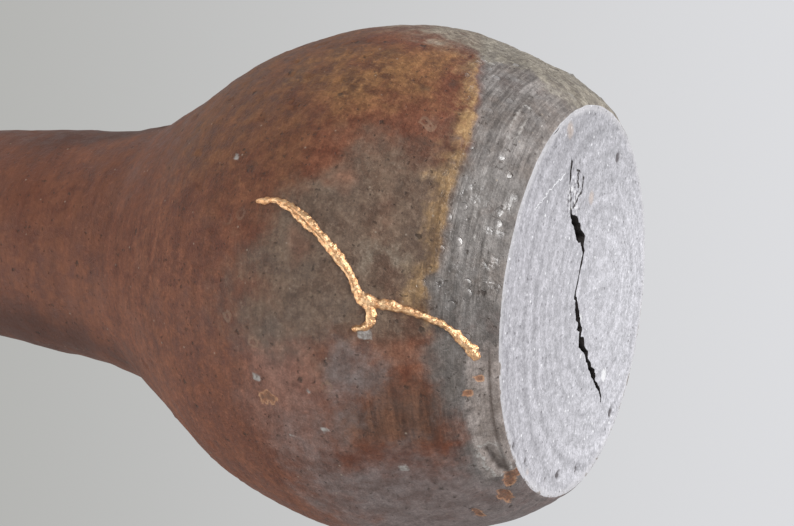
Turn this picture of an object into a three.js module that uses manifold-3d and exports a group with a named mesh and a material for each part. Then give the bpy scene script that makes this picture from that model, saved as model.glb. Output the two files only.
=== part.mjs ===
// A wheel-thrown stoneware vase with a cracked base and a gold-mended crack in its wall.
// Millimetres, +Z up, origin at the middle of the underside. The mended crack faces -Y.
import * as THREE from 'three';
import { mergeVertices } from 'three/addons/utils/BufferGeometryUtils.js';
import Module from 'manifold-3d';

// Outline of the thrown body
const HEIGHT = 205;
const BASE_RADIUS = 38;
const FOOT_HEIGHT = 11;
const FOOT_RADIUS = 45;
const BELLY_HEIGHT = 35;
const BELLY_RADIUS = 51.5;
const SHOULDER_HEIGHT = 62;
const SHOULDER_RADIUS = 46;
const SHOULDER_FALL_HEIGHT = 82;
const SHOULDER_FALL_RADIUS = 34.5;
const NECK_ROOT_HEIGHT = 95;
const NECK_ROOT_RADIUS = 28;
const NECK_HEIGHT = 118;
const NECK_RADIUS = 25;
const WAIST_HEIGHT = 148;
const WAIST_RADIUS = 23.5;
const MOUTH_FLARE_HEIGHT = 180;
const MOUTH_FLARE_RADIUS = 25;
const MOUTH_RADIUS = 29.5;

// Clay thickness
const WALL = 6;
const LIP_RADIUS = 2.4;
const FLOOR = 10;
const FLOOR_FILLET = 16;

// Gold seam: height above and depth below the clay surface, the share of its width that the
// crown and the root keep, its room in the groove, and the length of a step along it
const SEAM_CROWN = 0.55;
const SEAM_ROOT = 0.8;
const CROWN_SHARE = 0.55;
const ROOT_SHARE = 0.4;
const SEAM_GAP = 0.3;
const SEAM_STEP = 2.2;

// Base crack: depth of its wedge, the share of its width left at the tip,
// and how far the cutter starts below the underside
const CRACK_DEPTH = 5.5;
const CRACK_TIP_SHARE = 0.2;
const CRACK_START = 1;

// Fineness of the faceted solids
const SEGMENTS = 64;
const STEPS_PER_SPAN = 4;
const INNER_STEPS = 16;
const ARC_STEPS = 6;
const SLOPE_STEP = 0.05;
const MERGE_DISTANCE = 1e-4;

const OUTLINE = [
  [0, BASE_RADIUS],
  [FOOT_HEIGHT, FOOT_RADIUS],
  [BELLY_HEIGHT, BELLY_RADIUS],
  [SHOULDER_HEIGHT, SHOULDER_RADIUS],
  [SHOULDER_FALL_HEIGHT, SHOULDER_FALL_RADIUS],
  [NECK_ROOT_HEIGHT, NECK_ROOT_RADIUS],
  [NECK_HEIGHT, NECK_RADIUS],
  [WAIST_HEIGHT, WAIST_RADIUS],
  [MOUTH_FLARE_HEIGHT, MOUTH_FLARE_RADIUS],
  [HEIGHT - LIP_RADIUS, MOUTH_RADIUS],
];

// The mended crack, as [degrees round the vase, height, width] from its top end to its foot,
// and the short spur that leaves it at the junction
const SEAM_JUNCTION = [-94.8, 21.6, 1.7];
const SEAM_LINE = [
  [-77.6, 44, 1.2],
  [-77.4, 39.5, 1.6],
  [-79.6, 34.8, 2],
  [-84.5, 28.6, 2.1],
  [-89.5, 24.4, 1.9],
  SEAM_JUNCTION,
  [-95.6, 16.6, 1.9],
  [-97.2, 11.6, 1.7],
  [-99.6, 7.4, 1.6],
  [-104.6, 4, 2.3],
  [-106.4, 3.3, 1.6],
];
const SEAM_SPUR = [
  [-94.6, 20.8, 1.6],
  [-97.4, 19.9, 1.8],
  [-99.8, 20.2, 2],
  [-101, 22.5, 1],
];

// The crack across the underside, as [x, y, width]
const CRACK_LINE = [
  [25, -12, 0.5],
  [20, -11.4, 0.7],
  [16.6, -9.6, 0.9],
  [15, -6.6, 2.2],
  [11.8, -2, 2.5],
  [9.6, 0, 1.2],
  [5.3, -1.1, 0.5],
  [0.8, -2, 0.9],
  [-2.2, 0.2, 1.8],
  [-7, 3.9, 2.2],
  [-9.8, 7.1, 1.5],
  [-14.7, 14, 1.3],
  [-19, 19.8, 0.4],
];

const wasm = await Module();
wasm.setup();

// Slope of the outline at one of its points: the chord between its neighbours,
// and at an end the slope that a parabola through the last span has.
function outlineSlope(index) {
  const chord = (a, b) => (OUTLINE[b][1] - OUTLINE[a][1]) / (OUTLINE[b][0] - OUTLINE[a][0]);
  const last = OUTLINE.length - 1;
  if (index === 0) return 2 * chord(0, 1) - chord(0, 2);
  if (index === last) return 2 * chord(last - 1, last) - chord(last - 2, last);
  return chord(index - 1, index + 1);
}

// Outer radius at a height, by a cubic on each span that keeps the slopes at its ends.
function outerRadius(height) {
  const last = OUTLINE.length - 2;
  const above = OUTLINE.findIndex(([z]) => z > height) - 1;
  const span = above < 0 ? last : Math.min(above, last);
  const [z0, r0] = OUTLINE[span];
  const [z1, r1] = OUTLINE[span + 1];
  const length = z1 - z0;
  const t = (height - z0) / length;
  const rise = 3 * t ** 2 - 2 * t ** 3;
  const leave = t ** 3 - 2 * t ** 2 + t;
  const arrive = t ** 3 - t ** 2;
  const bend = leave * outlineSlope(span) + arrive * outlineSlope(span + 1);
  return r0 + (r1 - r0) * rise + length * bend;
}

// Change of the outer radius with height, by a small difference.
function outerSlope(height) {
  return (outerRadius(height + SLOPE_STEP) - outerRadius(height - SLOPE_STEP)) / (2 * SLOPE_STEP);
}

// Inner radius at a height: the wall is measured square to the surface.
// The lip takes over near the mouth, so the wall thins to the lip there.
function innerRadius(height) {
  const thin = THREE.MathUtils.smoothstep(height, NECK_ROOT_HEIGHT, HEIGHT - LIP_RADIUS);
  const wall = THREE.MathUtils.lerp(WALL, 2 * LIP_RADIUS, thin);
  return outerRadius(height) - wall * Math.hypot(1, outerSlope(height) * (1 - thin));
}

// Half section of the hollow body, from the underside's middle, up the outside,
// over the round lip, down the inside and across the floor.
function bodySection() {
  const section = [new THREE.Vector2(0, 0)];
  for (let span = 0; span + 1 < OUTLINE.length; span += 1) {
    for (let step = 0; step < STEPS_PER_SPAN; step += 1) {
      const share = step / STEPS_PER_SPAN;
      const height = THREE.MathUtils.lerp(OUTLINE[span][0], OUTLINE[span + 1][0], share);
      section.push(new THREE.Vector2(outerRadius(height), height));
    }
  }
  const lipHeight = HEIGHT - LIP_RADIUS;
  const lip = new THREE.EllipseCurve(
    MOUTH_RADIUS - LIP_RADIUS, lipHeight, LIP_RADIUS, LIP_RADIUS, 0, Math.PI);
  section.push(...lip.getPoints(ARC_STEPS));
  const filletTop = FLOOR + FLOOR_FILLET;
  for (let step = 1; step < INNER_STEPS; step += 1) {
    const height = THREE.MathUtils.lerp(lipHeight, filletTop, step / INNER_STEPS);
    section.push(new THREE.Vector2(innerRadius(height), height));
  }
  const filletMiddle = innerRadius(filletTop) - FLOOR_FILLET;
  const fillet = new THREE.EllipseCurve(
    filletMiddle, filletTop, FLOOR_FILLET, FLOOR_FILLET, 0, -Math.PI / 2, true);
  section.push(...fillet.getPoints(ARC_STEPS));
  section.push(new THREE.Vector2(0, FLOOR));
  return section;
}

// Point on the clay surface, with its outward normal.
function onWall(degrees, height) {
  const angle = THREE.MathUtils.degToRad(degrees);
  const radius = outerRadius(height);
  const point = new THREE.Vector3(radius * Math.cos(angle), radius * Math.sin(angle), height);
  const normal = new THREE.Vector3(Math.cos(angle), Math.sin(angle), -outerSlope(height)).normalize();
  return { point, normal };
}

// A closed solid through a row of rings with the same number of corners.
function skinRings(rings) {
  const corners = rings[0].length;
  const position = rings.flat().flatMap((corner) => corner.toArray());
  const index = [];
  for (let ring = 0; ring + 1 < rings.length; ring += 1) {
    for (let side = 0; side < corners; side += 1) {
      const a = ring * corners + side;
      const b = ring * corners + ((side + 1) % corners);
      index.push(a, b, b + corners, a, b + corners, a + corners);
    }
  }
  const lastRing = (rings.length - 1) * corners;
  for (let side = 1; side + 1 < corners; side += 1) {
    index.push(0, side + 1, side);
    index.push(lastRing, lastRing + side, lastRing + side + 1);
  }
  const geometry = new THREE.BufferGeometry();
  geometry.setAttribute('position', new THREE.Float32BufferAttribute(position, 3));
  geometry.setIndex(index);
  return geometry;
}

// Solid for joining and cutting, from a closed geometry.
function toSolid(geometry) {
  const bare = geometry.clone();
  bare.deleteAttribute('normal');
  bare.deleteAttribute('uv');
  const merged = mergeVertices(bare, MERGE_DISTANCE);
  const triVerts = [];
  for (let i = 0; i < merged.index.count; i += 3) {
    const [a, b, c] = [0, 1, 2].map((k) => merged.index.getX(i + k));
    if (a !== b && b !== c && c !== a) triVerts.push(a, b, c);
  }
  return new wasm.Manifold(new wasm.Mesh({
    numProp: 3,
    vertProperties: new Float32Array(merged.attributes.position.array),
    triVerts: new Uint32Array(triVerts),
  }));
}

function toGeometry(solid) {
  const mesh = solid.getMesh();
  const geometry = new THREE.BufferGeometry();
  geometry.setAttribute('position', new THREE.BufferAttribute(mesh.vertProperties, 3));
  geometry.setIndex(new THREE.BufferAttribute(mesh.triVerts, 1));
  geometry.computeVertexNormals();
  return geometry;
}

// A lens-shaped bead that follows a line on the wall. Its section has a flat crown outside
// and a narrow root inside; extra widens it, and crown and root set its reach.
function beadOnWall(line, extra, crown, root) {
  const places = line.map(([degrees, height]) => onWall(degrees, height).point);
  const path = new THREE.CatmullRomCurve3(places);
  const steps = Math.round(path.getLength() / SEAM_STEP);
  const rings = [];
  for (let step = 0; step <= steps; step += 1) {
    const share = step / steps;
    const near = path.getPoint(share);
    const degrees = THREE.MathUtils.radToDeg(Math.atan2(near.y, near.x));
    const { point, normal } = onWall(degrees, near.z);
    const across = normal.clone().cross(path.getTangent(share)).normalize();
    const place = share * (line.length - 1);
    const from = Math.min(Math.floor(place), line.length - 2);
    const half = THREE.MathUtils.lerp(line[from][2], line[from + 1][2], place - from) / 2 + extra;
    const corner = (side, out) => {
      const moved = point.clone().addScaledVector(across, side * half);
      return moved.addScaledVector(normal, out);
    };
    rings.push([
      corner(1, 0),
      corner(CROWN_SHARE, crown),
      corner(-CROWN_SHARE, crown),
      corner(-1, 0),
      corner(-ROOT_SHARE, -root),
      corner(ROOT_SHARE, -root),
    ]);
  }
  return toSolid(skinRings(rings));
}

// The seam and its spur as one solid; grow gives the groove that the seam sits in.
function seamSolid(grow) {
  const crown = SEAM_CROWN + grow;
  const root = SEAM_ROOT + grow;
  const bead = (line) => beadOnWall(line, grow, crown, root);
  return bead(SEAM_LINE).add(bead(SEAM_SPUR));
}

// The crack's wedge: wide at the underside and closing upwards into the clay.
function crackSolid() {
  const rings = CRACK_LINE.map(([x, y, width], i) => {
    const [x0, y0] = CRACK_LINE[Math.max(i - 1, 0)];
    const [x1, y1] = CRACK_LINE[Math.min(i + 1, CRACK_LINE.length - 1)];
    const mouth = new THREE.Vector2(y0 - y1, x1 - x0).setLength(width / 2);
    const tip = mouth.clone().multiplyScalar(CRACK_TIP_SHARE);
    return [
      new THREE.Vector3(x + mouth.x, y + mouth.y, -CRACK_START),
      new THREE.Vector3(x + tip.x, y + tip.y, CRACK_DEPTH),
      new THREE.Vector3(x - tip.x, y - tip.y, CRACK_DEPTH),
      new THREE.Vector3(x - mouth.x, y - mouth.y, -CRACK_START),
    ];
  });
  return toSolid(skinRings(rings));
}

function vaseBody() {
  const thrown = new THREE.LatheGeometry(bodySection(), SEGMENTS);
  thrown.rotateX(Math.PI / 2);
  const cut = toSolid(thrown).subtract(crackSolid()).subtract(seamSolid(SEAM_GAP));
  const clay = new THREE.MeshStandardMaterial({ color: 0x6b4a3c, roughness: 0.6, metalness: 0 });
  const mesh = new THREE.Mesh(toGeometry(cut), clay);
  mesh.name = 'vase_body';
  return mesh;
}

function goldSeam() {
  const gold = new THREE.MeshStandardMaterial({ color: 0xd9a05b, roughness: 0.35, metalness: 1 });
  const mesh = new THREE.Mesh(toGeometry(seamSolid(0)), gold);
  mesh.name = 'gold_seam';
  return mesh;
}

const vase = new THREE.Group();
vase.name = 'kintsugi_vase';
vase.add(vaseBody(), goldSeam());

export default vase;
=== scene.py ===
import math
from collections import namedtuple

import bpy
import numpy as np
from mathutils import Matrix


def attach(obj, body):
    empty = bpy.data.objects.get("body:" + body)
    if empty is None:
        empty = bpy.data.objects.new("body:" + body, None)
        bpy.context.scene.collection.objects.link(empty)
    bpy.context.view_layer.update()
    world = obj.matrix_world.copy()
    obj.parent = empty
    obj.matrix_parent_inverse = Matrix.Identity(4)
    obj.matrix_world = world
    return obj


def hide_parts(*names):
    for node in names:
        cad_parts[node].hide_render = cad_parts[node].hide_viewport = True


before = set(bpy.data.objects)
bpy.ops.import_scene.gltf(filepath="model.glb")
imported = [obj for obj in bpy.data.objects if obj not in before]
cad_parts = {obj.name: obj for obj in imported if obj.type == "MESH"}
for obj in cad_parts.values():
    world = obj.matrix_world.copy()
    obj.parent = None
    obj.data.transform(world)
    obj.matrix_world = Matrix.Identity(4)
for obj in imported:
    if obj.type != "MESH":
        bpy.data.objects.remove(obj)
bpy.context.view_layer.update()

# Lengths are in millimetres until a mesh is made. Angles round the vase are in degrees from the
# front, where the gold seam is: positive towards +X, and +-180 at the back.
MM = 0.001
FRONT = -90.0

# Thrown body, as in the solid: [height, radius] up the outside
HEIGHT = 205.0
BASE_RADIUS = 38.0
LIP_RADIUS = 2.4
MOUTH_RADIUS = 29.5
LIP_HEIGHT = HEIGHT - LIP_RADIUS
OUTLINE = np.array([
    [0.0, BASE_RADIUS],
    [11.0, 45.0],
    [35.0, 51.5],
    [62.0, 46.0],
    [82.0, 34.5],
    [95.0, 28.0],
    [118.0, 25.0],
    [148.0, 23.5],
    [180.0, 25.0],
    [LIP_HEIGHT, MOUTH_RADIUS],
])
NECK_ROOT = 95.0
WALL = 6.0
FLOOR = 10.0
FLOOR_FILLET = 16.0

# Gold seam and its spur: [degrees round from +X, height, width]
SEAM_LINE = np.array([
    [-77.6, 44.0, 1.2],
    [-77.4, 39.5, 1.6],
    [-79.6, 34.8, 2.0],
    [-84.5, 28.6, 2.1],
    [-89.5, 24.4, 1.9],
    [-94.8, 21.6, 1.9],
    [-95.4, 18.6, 2.2],
    [-95.6, 16.6, 1.9],
    [-97.2, 11.6, 1.6],
    [-99.6, 7.4, 1.4],
    [-104.6, 4.0, 2.4],
    [-106.4, 3.3, 2.0],
])
SEAM_SPUR = np.array([
    [-94.6, 20.8, 2.0],
    [-97.4, 19.9, 2.2],
    [-99.8, 20.2, 2.3],
    [-101.0, 22.5, 1.2],
])
# The bead's height over the clay, and how far its lower sheet and its edge lie under it
SEAM_CROWN = 0.55
SEAM_ROOT = 0.6
SEAM_SINK = 0.32
# The bead's mesh: its cells, the margin round the lines, the steps along them, and the wall measured for it
SEAM_CELL = 0.15
SEAM_MARGIN = 2.0
SEAM_STEPS = 130
SPUR_STEPS = 40
MEASURED_WALL = 60.0
MEASURED_STEPS = 601

# Crack across the underside: [x, y, width]
CRACK_LINE = np.array([
    [25.2, -12.2, 0.9],
    [23.0, -11.5, 0.8],
    [21.6, -11.4, 0.1],
    [17.4, -10.0, 0.15],
    [16.3, -8.8, 1.2],
    [15.0, -6.6, 2.2],
    [11.8, -2.0, 2.5],
    [9.6, 0.0, 1.2],
    [5.3, -1.1, 0.5],
    [0.8, -2.0, 0.9],
    [-2.2, 0.2, 1.8],
    [-7.0, 3.9, 2.2],
    [-9.8, 7.1, 1.5],
    [-14.7, 14.0, 1.3],
    [-19.0, 19.8, 0.4],
])
# Its greatest depth, its depth for each millimetre of width, its least half width, and the length over
# which it closes at each end
CRACK_DEEPEST = 5.0
CRACK_STEEPNESS = 2.4
CRACK_HAIR = 0.03
CRACK_RUN_OUT = 1.5

# Fineness of the body mesh. The first rows of the foot's edge are cut clay, and the first rows of the lip
# are fired as the wall is.
AROUND = 416
EDGE_TOP = 0.8
ROW_BREAKS = [EDGE_TOP, 14.0, 50.0, 100.0, LIP_HEIGHT]
ROW_STEPS = [0.55, 0.85, 1.25, 2.2]
EDGE_ROWS = 5
EDGE_CUT_ROWS = 2
LIP_ROWS = 9
LIP_FIRED_ROWS = 6
INNER_ROWS = 14
FILLET_ROWS = 5
FLOOR_ROWS = 3
CRACK_SHARES = [0.5, 0.9, 0.975, 1.0]
UNDER_COLUMNS = 34

# The foot's edge: how far its ring stands in from the base and above the ground
EDGE_INSET = 0.45
EDGE_LIFT = 0.12

# Noise in the clay: [height, grain size, seed, layers]
WOBBLE = 0.25, 46.0, 1, 2
RING_DRIFT = 1.6, 60.0, 5, 1
COARSE_GRAIN = 0.08, 9.0, 17, 2
RUN_TONGUES = 1.3, 5.0, 31, 3
OVAL_RAGGED = 0.45, 1.6, 71, 2
FURROW_RAGGED = 0.3, 1.5, 75, 2
INSIDE_RELIEF = 0.9, 9.0, 101, 2
EDGE_WEAR = 0.2, 3.0, 111, 3
UNDER_GRAIN = 0.05, 1.8, 89, 2
WIRE_DRIFT = 1.2, 12.0, 81, 2
FAR_TURN, FAR_HEIGHT = (9.0, 20.0, 51, 3), (5.0, 15.0, 55, 3)
NEAR_TURN, NEAR_HEIGHT = (3.5, 9.0, 52, 3), (2.5, 8.0, 56, 3)
GROOVE_DRIFT = 0.4, 9.0, 58, 1
COARSE_CRINKLE, FINE_CRINKLE = (0.12, 1.1, 131, 2), (0.08, 0.45, 137, 2)
# Heights that also change up the vase: on the belly, and how much more on the shoulder or neck
RING_RISE, NECK_RING_RISE = 0.05, 0.2
GRAIN_RISE, SHOULDER_GRAIN_RISE = 0.05, 0.05
PIT_DEPTH, SHOULDER_PIT_DEPTH = 0.28, 0.3
LUMP_RISE, SHOULDER_LUMP_RISE = 0.16, 0.14
# Shares of the clay's cells that hold a pit or a lump, in the same way
PIT_SHARE, SHOULDER_PIT_SHARE = 0.14, 0.14
LUMP_SHARE, SHOULDER_LUMP_SHARE = 0.2, 0.15
CRUST_RISE = 0.2
TURNING_RISE = 0.08
RUN_RIDGE_RISE = 0.26
UNDER_HOLLOW = 0.22
UNDER_PIT_DEPTH = 0.35
WIRE_RISE = 0.05


# Noise

def corner_value(i, j, k, seed):
    """One even random number from -1 to 1 for each whole-number corner, by mixing its bits."""
    mixed = (i * 374761393 + j * 668265263 + k * 1274126177 + seed * 362437) & 0xFFFFFFFF
    mixed = ((mixed ^ (mixed >> 15)) * 2246822519) & 0xFFFFFFFF
    mixed = ((mixed ^ (mixed >> 13)) * 3266489917) & 0xFFFFFFFF
    return (mixed ^ (mixed >> 16)) / 2147483647.5 - 1


def smooth_noise(places, seed):
    """Random corner values, blended across each unit cube by a quintic that is level at its faces."""
    cell = np.floor(places).astype(np.int64)
    part = places - cell
    blend = part ** 3 * (part * (part * 6 - 15) + 10)
    total = np.zeros(places.shape[:-1])
    for corner in np.ndindex(2, 2, 2):
        share = np.prod(np.where(np.array(corner) == 1, blend, 1 - blend), axis=-1)
        at = cell + np.array(corner)
        total += share * corner_value(at[..., 0], at[..., 1], at[..., 2], seed)
    return total


def layered_noise(places, size, seed, layers=3):
    """Smooth noise of the given grain size, plus layers of half the size and half the height."""
    total = np.zeros(places.shape[:-1])
    for layer in range(layers):
        total += smooth_noise(places * (2 ** layer / size), seed + layer) / 2 ** layer
    return total


def clay_noise(places, noise):
    """One of the noises in the clay: its height times layered noise."""
    height, size, seed, layers = noise
    return height * layered_noise(places, size, seed, layers)


def line_noise(distance, size, seed, layers=3):
    """Layered noise along one line, such as a height or a radius."""
    return layered_noise(np.stack([distance, 0 * distance, 0 * distance], axis=-1), size, seed, layers)


def nearest_grain(places, size, seed):
    """One grain at random in each cube of that size: the distance to the nearest, in cube sizes, and
    that grain's own number from 0 to 1."""
    scaled_places = places / size
    cell = np.floor(scaled_places).astype(np.int64)
    nearest = np.full(places.shape[:-1], 9.0)
    number = np.zeros(places.shape[:-1])
    for step in np.ndindex(3, 3, 3):
        at = cell + np.array(step) - 1
        i, j, k = at[..., 0], at[..., 1], at[..., 2]
        jitter = np.stack([corner_value(i, j, k, seed + axis) for axis in range(3)], axis=-1)
        gap = np.linalg.norm(scaled_places - (at + 0.5 + 0.45 * jitter), axis=-1)
        closer = gap < nearest
        number = np.where(closer, 0.5 + 0.5 * corner_value(i, j, k, seed + 3), number)
        nearest = np.where(closer, gap, nearest)
    return nearest, number


def round_grains(places, size, seed, share, radius):
    """Grains in a share of the cubes of that size, each falling from 1 as 1 - (d/radius)^2."""
    gap, number = nearest_grain(places, size, seed)
    return (number < share) * np.clip(1 - (gap / radius) ** 2, 0, 1)


def ease(value, low, high):
    """Smooth step: 0 at low, 1 at high, and 3t^2 - 2t^3 between them. It falls where low is above high."""
    t = np.clip((value - low) / (high - low), 0, 1)
    return t * t * (3 - 2 * t)


def window(value, low, high, soft):
    """1 between low and high, falling to 0 over a soft border on each side."""
    return ease(value, low - soft, low + soft) * (1 - ease(value, high - soft, high + soft))


# Thrown outline

def outline_slopes():
    """Slope at each outline point: the chord between its neighbours, and a parabola's slope at the ends."""
    z, r = OUTLINE.T
    inner = (r[2:] - r[:-2]) / (z[2:] - z[:-2])
    chord = (r[1:] - r[:-1]) / (z[1:] - z[:-1])
    return np.concatenate([[2 * chord[0] - inner[0]], inner, [2 * chord[-1] - inner[-1]]])


OUTLINE_SLOPES = outline_slopes()


def outer_radius(height):
    """Cubic on each span of the outline that keeps the radius and slope at both of its ends."""
    z, r = OUTLINE.T
    span = np.clip(np.searchsorted(z, height, side="right") - 1, 0, len(z) - 2)
    length = z[span + 1] - z[span]
    t = (height - z[span]) / length
    rise = 3 * t ** 2 - 2 * t ** 3
    leave = (t ** 3 - 2 * t ** 2 + t) * OUTLINE_SLOPES[span]
    arrive = (t ** 3 - t ** 2) * OUTLINE_SLOPES[span + 1]
    return r[span] + (r[span + 1] - r[span]) * rise + length * (leave + arrive)


def outer_slope(height, step=0.05):
    """Change of the outer radius with height, by a small difference."""
    return (outer_radius(height + step) - outer_radius(height - step)) / (2 * step)


def inner_radius(height):
    """Outer radius less the wall, measured square to the surface and thinning to the lip up the neck."""
    thin = ease(height, NECK_ROOT, LIP_HEIGHT)
    wall = WALL + (2 * LIP_RADIUS - WALL) * thin
    return outer_radius(height) - wall * np.hypot(1, outer_slope(height) * (1 - thin))


def round_point(turn, radius, height):
    """A point at an angle from the front, a radius and a height."""
    angle = np.radians(turn + FRONT)
    return np.stack([radius * np.cos(angle), radius * np.sin(angle), height + 0 * angle], axis=-1)


# Marks of the firing on the wall

# Lower edge of the run ash: [degrees from the front, height]
RUN_LINE = np.array([
    [-180.0, 9.0], [-120.0, 9.5], [-75.0, 8.0], [-48.0, 5.0], [-30.0, 5.6], [-13.0, 9.0],
    [-4.0, 10.8], [11.0, 10.5], [27.0, 10.9], [35.6, 10.4], [43.6, 12.6], [54.8, 14.6],
    [62.4, 17.2], [80.0, 21.0], [120.0, 12.0], [180.0, 9.0],
])
# Beads of melted ash: [degrees from the front, height, radius, rise]
ASH_BEADS = np.array([
    [33.6, 12.2, 1.7, 0.7], [28.0, 11.7, 1.0, 0.42], [25.0, 8.5, 0.9, 0.38], [23.4, 7.9, 1.1, 0.5],
    [21.6, 8.4, 0.9, 0.38], [21.1, 6.4, 1.1, 0.48], [23.9, 5.6, 0.8, 0.32], [20.6, 4.4, 0.9, 0.36],
    [11.6, 8.3, 1.0, 0.42], [3.8, 7.1, 1.1, 0.48], [21.5, 1.6, 1.0, 0.42], [23.2, 1.4, 0.9, 0.36],
    [25.0, 1.3, 1.0, 0.4], [15.0, 1.8, 1.0, 0.4], [14.8, 3.4, 1.0, 0.38], [6.3, 2.5, 1.0, 0.42],
    [1.7, 2.1, 1.2, 0.55], [7.9, 1.7, 0.9, 0.36], [53.4, 13.5, 1.1, 0.42], [49.2, 12.7, 1.1, 0.42],
    [50.7, 2.0, 1.4, 0.6], [65.7, 14.2, 1.0, 0.36], [57.8, 12.5, 0.9, 0.32], [72.2, 1.9, 1.0, 0.42],
    [61.0, 9.5, 1.0, 0.35], [92.0, 8.0, 1.0, 0.4], [104.0, 4.5, 0.9, 0.35], [-47.0, 3.2, 0.9, 0.3],
])
# Stones and blisters in the clay, the pale ones first: [degrees from the front, height, radius, rise]
STONES = np.array([
    [-23.3, 41.6, 1.3, 0.4], [-33.5, 29.1, 1.0, 0.2], [-11.7, 20.8, 1.6, 0.35],
    [-35.9, 35.9, 0.7, 0.2], [-24.7, 31.2, 0.6, 0.15], [-43.0, 58.0, 0.7, 0.2],
    [22.5, 52.8, 0.8, 0.25], [-45.0, 16.9, 1.3, 0.3], [-150.0, 47.0, 1.1, 0.3],
    [131.0, 36.0, 1.3, 0.35], [-98.0, 52.0, 1.0, 0.3],
    [19.1, 121.3, 2.2, 0.4], [-25.5, 117.7, 2.4, 0.4], [110.0, 128.0, 2.0, 0.35],
    [-128.0, 156.0, 2.2, 0.4],
])
PALE_STONES = 11
# Flakes broken off near the foot: [degrees from the front, height, half length round, half height, depth]
FLAKES = np.array([
    [-59.4, 1.8, 2.3, 1.0, 0.4], [-66.4, 3.8, 3.0, 0.9, 0.45], [-69.8, 9.3, 2.4, 0.8, 0.3],
    [-57.5, 0.3, 1.2, 0.7, 0.4], [-26.4, 4.6, 0.8, 1.0, 0.12], [-22.3, 2.7, 0.6, 0.7, 0.12],
    [-27.8, 40.0, 1.4, 1.7, 0.3], [128.0, 2.4, 2.0, 1.0, 0.35], [-140.0, 1.6, 2.2, 0.9, 0.35],
])
# Burnt marks, set out in the same way
BURNS = np.array([
    [58.8, 40.4, 1.0, 3.4, 0.25], [57.2, 45.5, 0.8, 1.6, 0.2], [45.6, 22.0, 1.3, 1.3, 0.1],
    [50.2, 17.8, 1.5, 1.1, 0.1], [-1.8, 9.0, 2.0, 0.6, 0.15], [38.5, 58.0, 1.2, 1.0, 0.1],
    [13.0, 66.0, 1.0, 1.0, 0.15], [30.0, 41.0, 0.9, 0.8, 0.1], [31.5, 18.4, 0.8, 4.4, 0.1],
    [51.2, 18.1, 1.0, 0.9, 0.1], [20.1, 48.0, 1.3, 1.2, 0.1], [60.2, 8.8, 0.9, 0.7, 0.15],
    [-96.0, 30.0, 1.6, 2.2, 0.2], [160.0, 44.0, 1.4, 2.6, 0.2], [112.0, 62.0, 1.2, 1.8, 0.2],
])
# Furrows near the foot: [first turn, height, last turn, height, half width, depth, ridge]
FURROWS = np.array([
    [-43.8, 3.1, -53.4, 2.1, 0.75, 0.55, 0.3],
    [52.3, 5.2, 40.7, 4.6, 0.4, 0.15, 0.3],
    [17.0, 5.0, 8.0, 4.0, 0.4, 0.2, 0.2],
    [150.0, 3.5, 139.0, 4.4, 0.5, 0.4, 0.2],
])
# Zones of the firing, and of painted shade and sheen: windows in degrees from the front and in height, each
# [from, to, soft border]
BACK_ASH = [128, 200, 18], [20, 60, 16]
TAN = [12, 76, 20], [34, 76, 18]
UMBER = [-43, -14, 14], [3, 26, 9]
# A painted sheen: a lighter pink band across the front of the belly
PAINTED_SHEEN = [-42, -9, 14], [25, 44, 12]
LILAC = [-122, -44, 15], [-24, 30, 16]
CHALK = [-48, -18, 8], [-5, 4.6, 1.4]
SHOULDER = [44, 84, 12]
NECK_BEGINS = [78, 100]
# Height where the darkening up the neck begins: painted shade on its lower side, a smoky darkening on its upper
# side
SMOKE_AND_SHADE_BEGINS = [70, 108]
RUN_RIDGE_SIDE = [-6, 68, 8]
RUN_SIDE = [-9, 66, 7]
WET_SIDE, WET_BAND = [-12, 68, 8], [-9.5, 1.5, 2]
GROOVE_SIDE, GROOVE_HEIGHT, GROOVE_WIDTH = [-58, -14, 5], 1.4, 0.4
# Side where the foot is darkened by painted shade
FOOT_PAINTED_SHADE_SIDE = [-70, -3, 9]
# Soft patches: [degrees from the front, height, reach in degrees, reach in height, strength]
FLASH_PATCHES = [[48, 26, 12, 8, 0.95], [37, 33, 8, 6, 0.6], [50, 43, 9, 9, 0.55], [57, 21, 7, 5, 0.5]]
SPOT_PATCHES = [[21.2, 26.9, 2.4, 2.2, 0.8], [18.4, 29.9, 1.6, 1.6, 0.8], [2.3, 33.7, 3, 2.6, 0.6],
                [-14, 15, 5, 6, 0.7]]
LILAC_PATCHES = [[-52, 36, 12, 8, 0.3], [-18, 22, 7, 6, 0.55], [-27, 26, 7, 6, 0.45], [-35, 33, 9, 7, 0.2]]
PALE_ASH_PATCHES = [[2, 17.5, 6, 5, 0.4], [70, 22, 10, 9, 0.35]]
SMOKE_PATCHES = [[28, 22, 9, 8, 0.5]]
BARE_PATCHES = [[-14, 15, 6, 7, 0.9]]


def around_gap(turn, height, mark):
    """Distances round and up from a mark on the wall, in millimetres."""
    across = (turn - mark[0] + 180) % 360 - 180
    return np.radians(across) * outer_radius(mark[1]), height - mark[1]


def round_marks(turn, height, marks):
    """The highest of some round lumps, each its rise times (1 - d^2)^2, with d from 0 at its middle to 1
    at its radius."""
    total = np.zeros_like(turn)
    for mark in marks:
        across, up = around_gap(turn, height, mark)
        near = np.clip(1 - (across ** 2 + up ** 2) / mark[2] ** 2, 0, 1)
        total = np.maximum(total, mark[3] * near ** 2)
    return total


def oval_marks(turn, height, places, marks):
    """Ragged ovals on the wall: 1 well inside each and 0 outside it; and the deepest at each point."""
    ragged = clay_noise(places, OVAL_RAGGED)
    patch = np.zeros_like(turn)
    depth = np.zeros_like(turn)
    for mark in marks:
        across, up = around_gap(turn, height, mark)
        gap = np.hypot(across / mark[2], up / mark[3]) + ragged
        inside = 1 - ease(gap, 0.7, 1.15)
        patch = np.maximum(patch, inside)
        depth = np.maximum(depth, mark[4] * inside)
    return patch, depth


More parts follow.
